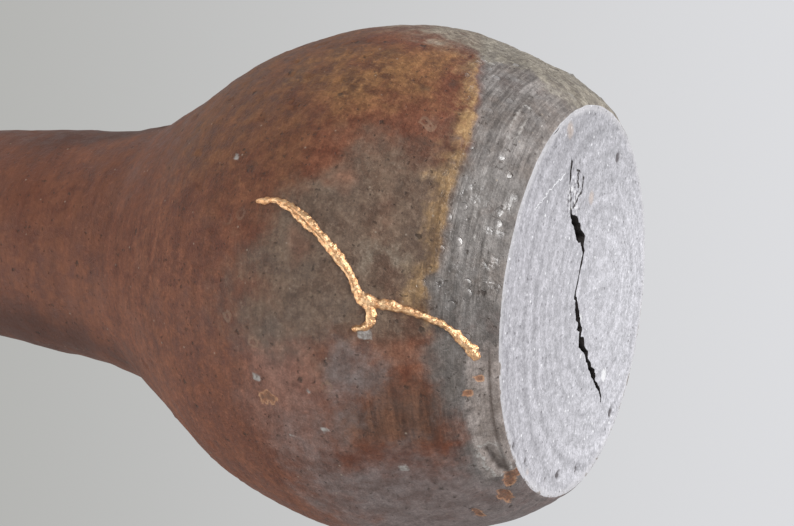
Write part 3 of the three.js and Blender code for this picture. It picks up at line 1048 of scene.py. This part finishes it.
def halos(tree, vector, scale, size, width, share):
    """Thin rings about the middles of a share of the cells of a scattered pattern."""
    distance, numbers = scattered(tree, vector, scale)
    gap = maths(tree, "ABSOLUTE", maths(tree, "SUBTRACT", distance, size))
    return times(tree, rising(tree, gap, width, 0.3 * width), maths(tree, "LESS_THAN", numbers[1], share))


def domes(tree, vector, scale, size, share):
    """Round drops in a share of the cells of a scattered pattern: 1 - (d/size)^2 above their edge."""
    distance, numbers = scattered(tree, vector, scale)
    part = maths(tree, "DIVIDE", distance, size)
    rise = maths(tree, "SUBTRACT", 1.0, times(tree, part, part), clamp=True)
    return times(tree, rise, maths(tree, "LESS_THAN", numbers[2], share))


def stroke(tree, place, start, end, width):
    """A thin stroke on the underside between two points in millimetres: 1 on its line, 0 past its half
    width, and fading in and out at its ends."""
    first = np.array(start) * MM
    ahead = np.array(end) * MM - first
    length = float(np.hypot(*ahead))
    ahead = ahead / length
    moved = vectors(tree, "SUBTRACT", place, (first[0], first[1], 0.0))
    along = dot(tree, moved, (ahead[0], ahead[1], 0.0))
    aside = dot(tree, moved, (-ahead[1], ahead[0], 0.0))
    near = rising(tree, maths(tree, "ABSOLUTE", aside), width * MM, 0.4 * width * MM)
    begun = rising(tree, along, 0.0, 0.08 * length)
    ended = rising(tree, along, length, 0.92 * length)
    return times(tree, near, times(tree, begun, ended))


def start_finish(name):
    """An empty material with its shader and output."""
    material = bpy.data.materials.new(name)
    material.use_nodes = True
    tree = material.node_tree
    tree.nodes.clear()
    shader = put(tree, "ShaderNodeBsdfPrincipled")
    put(tree, "ShaderNodeOutputMaterial", {"Surface": shader.outputs[0]})
    return material, tree, shader


def roughen(tree, shader, height, strength, distance):
    """Fine relief by tilting the surface's normal, over a distance in metres."""
    bump = put(tree, "ShaderNodeBump", {"Height": height, "Strength": strength, "Distance": distance})
    tree.links.new(bump.outputs[0], shader.inputs["Normal"])
    return bump.outputs[0]


# Fired wall

# A coat of the firing: the field that it follows; the noise that breaks up its border, with that noise's
# spread, the levels that the border lies between and the coat's strength; the noise that mottles it, with
# its levels; its darker and lighter colour; and flecks, each [noise, low, high, strength, colour].
Coat = namedtuple("Coat", "field border mottle dark light flecks")
MOTTLED = ("middle", 0.32, 0.7)
GRITTY = ("fine", 0.35, 0.65)

RED_CLAY = Coat(
    None, None, MOTTLED, colour(0.115, 0.034, 0.017), colour(0.210, 0.080, 0.043), [
        ("broad", 0.45, 0.72, 0.55, colour(0.178, 0.077, 0.050)),
        ("slow", 0.42, 0.68, 0.5, colour(0.130, 0.041, 0.021)),
        ("fine", 0.55, 0.8, 0.35, colour(0.26, 0.122, 0.074)),
    ])
# Laid on the red clay, in this order
FLAME_COATS = [
    # Painted shade on the neck's lower side, a smoky darkening on its upper side, and a dark patch on the belly
    Coat("smoke_and_shade", ("broad", 1.2, 0.05, 1.0, 0.85), MOTTLED,
         colour(0.068, 0.027, 0.019), colour(0.068, 0.027, 0.019), []),
    Coat("tan", ("broad", 2.0, 0.1, 1.2, 0.75), MOTTLED,
         colour(0.092, 0.033, 0.016), colour(0.222, 0.100, 0.045), []),
    # A painted sheen: lighter pink on the front of the belly
    Coat("painted_sheen", ("broad", 1.6, 0.1, 1.1, 0.8), MOTTLED,
         colour(0.185, 0.088, 0.064), colour(0.33, 0.184, 0.142), []),
    Coat("umber", ("broad", 1.6, 0.1, 1.0, 0.92), ("streaks", 0.36, 0.66),
         colour(0.068, 0.031, 0.019), colour(0.200, 0.096, 0.056),
         [("broad", 0.45, 0.68, 0.6, colour(0.100, 0.064, 0.050))]),
    Coat("flash", ("broad", 2.0, 0.05, 1.05, 0.9), MOTTLED,
         colour(0.098, 0.041, 0.018), colour(0.300, 0.148, 0.058),
         [("fine", 0.5, 0.75, 0.5, colour(0.38, 0.215, 0.096))]),
    Coat("ash", ("broad", 1.7, 0.05, 1.0, 0.9), MOTTLED,
         colour(0.092, 0.058, 0.040), colour(0.188, 0.134, 0.096),
         [("broad", 0.42, 0.7, 0.6, colour(0.156, 0.118, 0.091)),
          ("fine", 0.52, 0.78, 0.4, colour(0.27, 0.22, 0.17))]),
    Coat("spot", ("broad", 1.4, 0.05, 1.0, 0.8), MOTTLED,
         colour(0.145, 0.062, 0.038), colour(0.270, 0.135, 0.086), []),
    Coat("lilac", ("broad", 1.8, 0.05, 1.0, 0.9), MOTTLED,
         colour(0.136, 0.100, 0.091), colour(0.245, 0.207, 0.200), []),
]
TURNED_FOOT = Coat(
    "foot", ("broad", 1.5, 0.1, 1.0, 0.95), MOTTLED, colour(0.128, 0.115, 0.107), colour(0.252, 0.236, 0.226),
    [("broad", 0.48, 0.68, 0.55, colour(0.176, 0.144, 0.124))])
FOOT_FLECK = colour(0.36, 0.34, 0.32)
# Laid over the foot
ASH_COATS = [
    Coat("crest", ("middle", 1.7, 0.05, 1.0, 0.85), MOTTLED,
         colour(0.120, 0.100, 0.076), colour(0.300, 0.268, 0.214),
         [("fine", 0.5, 0.72, 0.5, colour(0.40, 0.365, 0.30))]),
    Coat("chalk", ("middle", 1.8, 0.1, 0.85, 0.85), MOTTLED,
         colour(0.20, 0.165, 0.145), colour(0.38, 0.33, 0.305), []),
    Coat("run", ("middle", 2.6, 0.2, 1.35, 0.88), ("streaks", 0.35, 0.68),
         colour(0.155, 0.090, 0.041), colour(0.48, 0.300, 0.138),
         [("fine", 0.5, 0.78, 0.45, colour(0.60, 0.44, 0.26))]),
]
FLAKE = Coat("flake", ("fine", 1.6, 0.25, 0.75, 0.88), GRITTY,
             colour(0.30, 0.130, 0.066), colour(0.56, 0.315, 0.180), [])
FLAKE_HOLLOW = colour(0.120, 0.056, 0.036)
# Laid over the specks and flakes
MARK_COATS = [
    Coat("stone", ("fine", 1.0, 0.3, 0.85, 0.92), GRITTY,
         colour(0.22, 0.19, 0.17), colour(0.44, 0.42, 0.40), []),
    Coat("scar", ("fine", 1.0, 0.2, 0.9, 0.8), MOTTLED,
         colour(0.052, 0.034, 0.026), colour(0.052, 0.034, 0.026), []),
]
INSIDE_CLAY = Coat("inside", None, MOTTLED, colour(0.075, 0.032, 0.021), colour(0.125, 0.056, 0.037), [])
DARK_SPECK = colour(0.030, 0.020, 0.015)
SMALL_SPECK = colour(0.040, 0.025, 0.018)
PALE_SPECK = colour(0.40, 0.33, 0.26)
HALO = colour(0.30, 0.20, 0.135)


def wall_noise(tree, plain, aside):
    """The noises of the wall, by name: five grain sizes, turning lines, and streaks round the pot."""
    turning_lines = stretched(tree, (90.0, 90.0, 1500.0))
    round_streaks = stretched(tree, (45.0, 45.0, 420.0))
    return {
        "slow": cloud(tree, plain, 42.0, 3.0),
        "broad": cloud(tree, aside, 120.0, 8.0, 0.68),
        "middle": cloud(tree, plain, 300.0, 6.0, 0.66),
        "fine": cloud(tree, plain, 1000.0, 4.0, 0.65),
        "grit": cloud(tree, aside, 2600.0, 3.0, 0.7),
        "turning": cloud(tree, turning_lines, 1.0, 4.0, 0.65),
        "streaks": cloud(tree, round_streaks, 1.0, 5.0, 0.68),
    }


def partly(tree, value, low, high, share):
    """A share of a smooth step."""
    return times(tree, rising(tree, value, low, high), share)


def coat_paint(tree, noise, coat):
    """A coat's two colours mottled by one noise, with its flecks laid over them."""
    grain, low, high = coat.mottle
    paint = mingle(tree, rising(tree, noise[grain], low, high), coat.dark, coat.light)
    for grain, low, high, share, fleck in coat.flecks:
        paint = mingle(tree, partly(tree, noise[grain], low, high, share), paint, fleck)
    return paint


def coat_share(tree, noise, coat):
    """Where a coat lies: its field, with the border broken up by noise, times its strength."""
    grain, spread, low, high, share = coat.border
    return times(tree, zone(tree, coat.field, noise[grain], spread, low, high), share)


def lay_coats(tree, noise, under, coats):
    """Coats laid one after another over the paint under them."""
    for coat in coats:
        under = mingle(tree, coat_share(tree, noise, coat), under, coat_paint(tree, noise, coat))
    return under


def foot_paint(tree, noise):
    """The turned foot's grey: darker on its lower side as painted shade, with turning lines in places, and pale
    flecks.
    """
    paint = graded(tree, coat_paint(tree, noise, TURNED_FOOT), field(tree, "shade"), 1.0, 0.74)
    lined = graded(tree, paint, rising(tree, noise["turning"], 0.3, 0.7), 0.66, 1.36)
    paint = mingle(tree, partly(tree, noise["slow"], 0.35, 0.6, 0.9), paint, lined)
    return mingle(tree, partly(tree, noise["fine"], 0.56, 0.8, 0.3), paint, FOOT_FLECK)


def clay_grain(tree, noise, paint, plain):
    """Fine light and dark grain in the paint, weaker up the neck."""
    grainy = paint
    for grain, low, high in [("fine", 0.85, 1.15), ("grit", 0.83, 1.17), ("turning", 0.92, 1.08)]:
        grainy = graded(tree, grainy, rising(tree, noise[grain], 0.3, 0.7), low, high)
    return mingle(tree, partly(tree, along_axis(tree, plain, 2), 0.07, 0.11, 0.55), grainy, paint)


def veil_halos(tree, warp):
    """Thin rings at the veil's edge, off the foot."""
    edge = partly(tree, field(tree, "ash"), 0.04, 0.3, 0.4)
    edge = times(tree, edge, rising(tree, field(tree, "ash"), 0.9, 0.5))
    edge = times(tree, edge, rising(tree, field(tree, "foot"), 0.3, 0.0))
    return times(tree, halos(tree, warp, 260.0, 0.24, 0.10, 0.35), edge)


def flake_paint(tree, noise):
    """A flake's bare orange clay, with a dark hollow at its middle."""
    ragged = times(tree, maths(tree, "SUBTRACT", noise["fine"], 0.5), 1.6)
    middle = maths(tree, "ADD", field(tree, "flake"), ragged)
    return mingle(tree, partly(tree, middle, 0.7, 1.1, 0.85), coat_paint(tree, noise, FLAKE), FLAKE_HOLLOW)


def fired_wall():
    """Wood-fired clay: red-brown body under a smoky darkening and painted shade up the neck, tan, a painted
    sheen, umber, orange flashes, a grey-olive ash veil, spots and lilac, then a grey turned foot with painted
    shade on its lower side, crusted ash, chalk and ochre run ash with glassy drops;
    over them grain, specks, halos, flakes, stones and scars."""
    material, tree, shader = start_finish("fired_wall")
    plain = stretched(tree)
    aside = stretched(tree, move=(0.3, 0.1, 0.2))
    warp = warped(tree, plain, 1200.0, 2.0, 0.0, 0.0013)
    noise = wall_noise(tree, plain, aside)
    red = coat_paint(tree, noise, RED_CLAY)
    paint = graded(tree, red, rising(tree, noise["streaks"], 0.3, 0.7), 0.88, 1.12)
    paint = lay_coats(tree, noise, paint, FLAME_COATS)
    paint = mingle(tree, coat_share(tree, noise, TURNED_FOOT), paint, foot_paint(tree, noise))
    paint = lay_coats(tree, noise, paint, ASH_COATS)
    paint = clay_grain(tree, noise, paint, plain)

    dark = specks(tree, warp, 250.0, 0.17, 0.28)
    small = specks(tree, warp, 900.0, 0.32, 0.22)
    pale = specks(tree, aside, 520.0, 0.15, 0.12)
    paint = mingle(tree, times(tree, dark, 0.7), paint, DARK_SPECK)
    paint = mingle(tree, times(tree, small, 0.55), paint, SMALL_SPECK)
    paint = mingle(tree, times(tree, pale, 0.5), paint, PALE_SPECK)
    paint = mingle(tree, veil_halos(tree, warp), paint, HALO)
    paint = mingle(tree, coat_share(tree, noise, FLAKE), paint, flake_paint(tree, noise))
    paint = lay_coats(tree, noise, paint, MARK_COATS)
    paint = mingle(tree, field(tree, "inside"), paint, coat_paint(tree, noise, INSIDE_CLAY))
    tree.links.new(paint, shader.inputs["Base Color"])

    drops = domes(tree, aside, 420.0, 0.42, 0.3)
    drops = times(tree, drops, zone(tree, "wet", noise["broad"], 1.2, 0.35, 0.6))
    glassy = maths(tree, "MAXIMUM", rising(tree, drops, 0.0, 0.25), field(tree, "bead"))
    rough = scaled(tree, rising(tree, noise["middle"], 0.32, 0.7), 0.52, 0.74)
    rough = plus(tree, rough, (zone(tree, "run", noise["middle"], 1.2, 0.3, 1.0), -0.22))
    streaked = partly(tree, noise["turning"], 0.4, 0.6, 0.3)
    rough = maths(tree, "SUBTRACT", rough, times(tree, field(tree, "wet"), streaked))
    tree.links.new(rough, shader.inputs["Roughness"])
    shader.inputs["Specular IOR Level"].default_value = 0.3
    tree.links.new(glassy, shader.inputs["Coat Weight"])
    shader.inputs["Coat Roughness"].default_value = 0.1

    lines = times(tree, noise["turning"], scaled(tree, field(tree, "foot"), 0.15, 0.6))
    grain = plus(tree, lines, (noise["fine"], 0.6), (noise["grit"], 0.4))
    grain = times(tree, grain, scaled(tree, glassy, 1.0, 0.15))
    pits = maths(tree, "MAXIMUM", dark, times(tree, small, 0.7))
    relief = plus(tree, grain, (noise["middle"], 0.6), (pits, -0.6), (drops, 0.45))
    tree.links.new(roughen(tree, shader, relief, 0.7, 0.0005), shader.inputs["Coat Normal"])
    return material


# Cut underside

NEAR_CLAY = colour(0.372, 0.363, 0.388)
FAR_CLAY = colour(0.485, 0.480, 0.510)
RIM_CLAY = colour(0.54, 0.53, 0.545)
WORN_RIM = colour(0.190, 0.155, 0.130)
CUT_SPECK = colour(0.16, 0.15, 0.16)
# White of the grit specks, a painted glint
PAINTED_GLINT = colour(0.86, 0.86, 0.88)
WARM_STAIN = colour(0.46, 0.33, 0.23)
PALE_STONE = colour(0.70, 0.70, 0.71)
PALE_CRUMB = colour(0.74, 0.73, 0.73)
DARK_CRUMB = colour(0.06, 0.05, 0.05)
WHITE_SCRATCH = colour(0.80, 0.80, 0.82)
# Painted shade along the crack's uncut branch
BRANCH_PAINTED_SHADE = colour(0.030, 0.024, 0.022)
PIT_DARK = colour(0.11, 0.10, 0.105)
# Painted shade inside the crack, near black
CRACK_PAINTED_SHADE = colour(0.014, 0.010, 0.009)


def wire_arcs(tree, broad):
    """Noise that changes only with the distance from the middle of the wire's sweep."""
    moved = stretched(tree, (1.0, 1.0, 0.0), (-WIRE_MIDDLE[0] * MM, -WIRE_MIDDLE[1] * MM, 0.0))
    arc = put(tree, "ShaderNodeVectorMath", {0: moved}, operation="LENGTH").outputs["Value"]
    inputs = {"W": plus(tree, arc, (broad, 0.004)), "Scale": 380.0, "Detail": 4.0}
    return put(tree, "ShaderNodeTexNoise", inputs, noise_dimensions="1D").outputs[0]


def crack_branch(tree, warp, fine):
    """The crack's branch, which is not cut, as a mask of painted shade: the darkest of its strokes, broken by
    fine noise.
    """
    branch = stroke(tree, warp, *CRACK_BRANCH[0])
    for piece in CRACK_BRANCH[1:]:
        branch = maths(tree, "MAXIMUM", branch, stroke(tree, warp, *piece))
    return times(tree, branch, rising(tree, fine, 0.36, 0.46))


def cut_underside():
    """Bare clay cut off with a wire: pale lilac-grey, with faint arcs, soft mottling, grit with painted glints,
    a white scratch, dark pits, and the crack and its crumbled branch painted near black as shade."""
    material, tree, shader = start_finish("cut_underside")
    plain = stretched(tree)
    aside = stretched(tree, move=(0.2, 0.6, 0.1))
    warp = warped(tree, plain, 700.0, 3.0, 0.5, 0.0022)
    broad = cloud(tree, plain, 120.0, 4.0, 0.6)
    middle = cloud(tree, plain, 420.0, 5.0, 0.65)
    fine = cloud(tree, plain, 1300.0, 3.0, 0.65)
    grit = cloud(tree, aside, 2600.0, 3.0, 0.7)
    wire = wire_arcs(tree, broad)
    far_side = rising(tree, plus(tree, along_axis(tree, plain, 1), (broad, 0.02)), -0.03, 0.045)
    upper_side = rising(tree, along_axis(tree, plain, 0), 0.010, 0.036)
    lower_side = rising(tree, along_axis(tree, plain, 0), 0.006, -0.010)

    base = mingle(tree, far_side, NEAR_CLAY, FAR_CLAY)
    base = graded(tree, base, upper_side, 1.0, 0.8)
    for noise, low, high in [(middle, 0.84, 1.14), (wire, 1.1, 0.86), (fine, 0.82, 1.16), (grit, 0.82, 1.18)]:
        base = graded(tree, base, rising(tree, noise, 0.3, 0.7), low, high)
    base = mingle(tree, times(tree, zone(tree, "rim", middle, 1.0, 0.3, 1.1), 0.6), base, RIM_CLAY)
    dark = specks(tree, plain, 700.0, 0.24, 0.2)
    base = mingle(tree, times(tree, dark, 0.6), base, CUT_SPECK)
    # Grit specks: smoother and raised, with their white a painted glint
    glint = times(tree, specks(tree, aside, 700.0, 0.27, 0.34), rising(tree, broad, 0.38, 0.6))
    base = mingle(tree, times(tree, glint, 0.9), base, PAINTED_GLINT)
    base = mingle(tree, times(tree, zone(tree, "stain", middle, 1.2, 0.2, 1.0), 0.4), base, WARM_STAIN)
    base = mingle(tree, times(tree, zone(tree, "stone", fine, 1.0, 0.35, 0.85), 0.9), base, PALE_STONE)

    crumbs = times(tree, field(tree, "crumb"), 0.7)
    base = mingle(tree, times(tree, crumbs, rising(tree, fine, 0.54, 0.6)), base, PALE_CRUMB)
    base = mingle(tree, times(tree, crumbs, rising(tree, fine, 0.44, 0.38)), base, DARK_CRUMB)
    scratch = stroke(tree, warp, *SCRATCH)
    base = mingle(tree, times(tree, scratch, 0.7), base, WHITE_SCRATCH)
    worn = times(tree, zone(tree, "rim", middle, 1.8, 1.02, 1.2), 0.85)
    base = mingle(tree, times(tree, worn, lower_side), base, WORN_RIM)
    branch = crack_branch(tree, warp, fine)
    # Painted shade along the crack's branch
    base = mingle(tree, branch, base, BRANCH_PAINTED_SHADE)
    base = mingle(tree, zone(tree, "pit", fine, 1.0, 0.2, 0.8), base, PIT_DARK)
    # Painted shade: the inside of the crack painted near black
    base = mingle(tree, rising(tree, field(tree, "crack"), 0.7, 0.97), base, CRACK_PAINTED_SHADE)
    tree.links.new(base, shader.inputs["Base Color"])

    tree.links.new(scaled(tree, glint, 0.7, 0.25), shader.inputs["Roughness"])
    shader.inputs["Specular IOR Level"].default_value = 0.3
    sunk = maths(tree, "MAXIMUM", dark, branch)
    raised = maths(tree, "MAXIMUM", glint, scratch)
    relief = plus(tree, times(tree, fine, 0.7), (wire, 0.4), (grit, 0.4), (sunk, -0.6), (raised, 0.4))
    roughen(tree, shader, relief, 0.8, 0.0004)
    return material


# Gold

DEEP_GOLD = colour(0.74, 0.38, 0.18)
BRIGHT_GOLD = colour(0.97, 0.66, 0.38)
POWDER_GOLD = colour(0.98, 0.78, 0.57)
COPPERY_EDGE = colour(0.48, 0.23, 0.11)
DARK_HAIRLINE = colour(0.26, 0.11, 0.05)


def brushed_gold():
    """Gold powder on lacquer: a warm metal, paler on its crests, with a darker hairline and coppery edges."""
    material, tree, shader = start_finish("brushed_gold")
    plain = stretched(tree)
    patchy = cloud(tree, plain, 1300.0, 4.0, 0.65)
    powder = cloud(tree, plain, 4200.0, 2.0, 0.6)
    gold = mingle(tree, rising(tree, patchy, 0.35, 0.65), DEEP_GOLD, BRIGHT_GOLD)
    gold = mingle(tree, partly(tree, powder, 0.5, 0.75, 0.45), gold, POWDER_GOLD)
    gold = mingle(tree, times(tree, field(tree, "edge"), 0.6), gold, COPPERY_EDGE)
    gold = mingle(tree, times(tree, field(tree, "hairline"), 0.6), gold, DARK_HAIRLINE)
    tree.links.new(gold, shader.inputs["Base Color"])
    shader.inputs["Metallic"].default_value = 1.0
    tree.links.new(scaled(tree, rising(tree, powder, 0.3, 0.7), 0.26, 0.48), shader.inputs["Roughness"])
    roughen(tree, shader, plus(tree, patchy, (powder, 0.35)), 0.9, 0.0003)
    return material


# Stage, in metres

FLOOR_REACH = 4.0
FLOOR_DROP = 0.0002
FLOOR_GREY = colour(0.78, 0.78, 0.78)
ROOM_DIM = colour(0.42, 0.42, 0.40)
ROOM_BRIGHT = colour(0.74, 0.745, 0.77)
ROOM_BEHIND = colour(0.44, 0.44, 0.44)
# Softboxes: [name, place, point that it faces, side, watts]
SOFTBOXES = [
    ("window", (0.42, -0.22, -0.8), (0.0, 0.0, 0.03), 0.5, 9.5),
    ("overhead", (0.7, 0.2, 1.1), (0.0, 0.0, 0.08), 0.9, 2.0),
    ("fill", (-0.4, -0.6, 0.75), (0.0, 0.0, 0.06), 0.9, 6.5),
]
# The camera's place and axes, and its focal length in pixels of the photograph's width
CAMERA_PLACE = (0.0, -0.30909, -0.11501)
CAMERA_RIGHT = (0.1196, 0.4443, -0.8878)
CAMERA_UP = (0.9928, -0.0623, 0.1026)
CAMERA_BACK = (-0.0097, -0.8937, -0.4486)
PHOTO_WIDTH = 794
FOCAL_PIXELS = 1700
SENSOR_MM = 36.0
NEAREST_SEEN = 0.01


def turned_to(right, up, back, place):
    """A matrix from three axes and a place."""
    return Matrix([[right[i], up[i], back[i], place[i]] for i in range(3)] + [[0, 0, 0, 1]])


def pale_floor():
    """Plain square floor that only the camera sees, and only from above, so that the photograph's low view
    looks past it and light reaches the underside."""
    s = FLOOR_REACH
    corners = [(-s, -s, -FLOOR_DROP), (s, -s, -FLOOR_DROP), (s, s, -FLOOR_DROP), (-s, s, -FLOOR_DROP)]
    mesh = bpy.data.meshes.new("floor")
    mesh.from_pydata(corners, [], [(0, 1, 2, 3)])
    floor = bpy.data.objects.new("floor", mesh)
    bpy.context.collection.objects.link(floor)
    floor.visible_diffuse = False
    floor.visible_glossy = False
    floor.visible_transmission = False
    floor.visible_shadow = False
    material = bpy.data.materials.new("pale_floor")
    material.use_nodes = True
    tree = material.node_tree
    tree.nodes.clear()
    pale = put(tree, "ShaderNodeBsdfDiffuse", {"Color": FLOOR_GREY})
    clear = put(tree, "ShaderNodeBsdfTransparent")
    below = put(tree, "ShaderNodeNewGeometry").outputs["Backfacing"]
    either = put(tree, "ShaderNodeMixShader", {0: below, 1: pale.outputs[0], 2: clear.outputs[0]})
    put(tree, "ShaderNodeOutputMaterial", {"Surface": either.outputs[0]})
    mesh.materials.append(material)


def soft_light(name, place, aim, size, watts):
    """A square softbox at a place, turned towards a point."""
    light = bpy.data.lights.new(name, "AREA")
    light.shape = "SQUARE"
    light.size = size
    light.energy = watts
    lamp = bpy.data.objects.new(name, light)
    bpy.context.collection.objects.link(lamp)
    back = np.array(place) - np.array(aim)
    back = back / np.linalg.norm(back)
    side = np.cross((0.0, 1.0, 0.0) if abs(back[2]) > 0.9 else (0.0, 0.0, 1.0), back)
    side = side / np.linalg.norm(side)
    lamp.matrix_world = turned_to(side, np.cross(back, side), back, place)


def pale_room():
    """An even pale surround, a little brighter towards the side that the window light comes from."""
    world = bpy.data.worlds.new("pale_room")
    bpy.context.scene.world = world
    world.use_nodes = True
    tree = world.node_tree
    tree.nodes.clear()
    way = put(tree, "ShaderNodeTexCoord").outputs["Generated"]
    shade = mingle(tree, rising(tree, dot(tree, way, CAMERA_RIGHT), -0.4, 0.35), ROOM_DIM, ROOM_BRIGHT)
    shade = mingle(tree, rising(tree, dot(tree, way, CAMERA_BACK), -0.3, 0.8), shade, ROOM_BEHIND)
    light = put(tree, "ShaderNodeBackground", {"Color": shade, "Strength": 1.0})
    put(tree, "ShaderNodeOutputWorld", {"Surface": light.outputs[0]})


def photo_camera():
    """The photograph's view: from beside and a little below the base, with the vase's mouth to the left."""
    camera = bpy.data.cameras.new("photo_camera")
    camera.sensor_width = SENSOR_MM
    camera.lens = SENSOR_MM * FOCAL_PIXELS / PHOTO_WIDTH
    camera.clip_start = NEAREST_SEEN
    view = bpy.data.objects.new("photo_camera", camera)
    bpy.context.collection.objects.link(view)
    view.matrix_world = turned_to(CAMERA_RIGHT, CAMERA_UP, CAMERA_BACK, CAMERA_PLACE)
    bpy.context.scene.camera = view


body = make_body()
body.data.materials.append(fired_wall())
body.data.materials.append(cut_underside())
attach(body, "root")
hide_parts("vase_body")

seam = make_seam()
seam.data.materials.append(brushed_gold())
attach(seam, "root")
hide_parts("gold_seam")

bpy.context.scene.view_settings.view_transform = "Standard"
pale_floor()
pale_room()
for softbox in SOFTBOXES:
    soft_light(*softbox)
photo_camera()
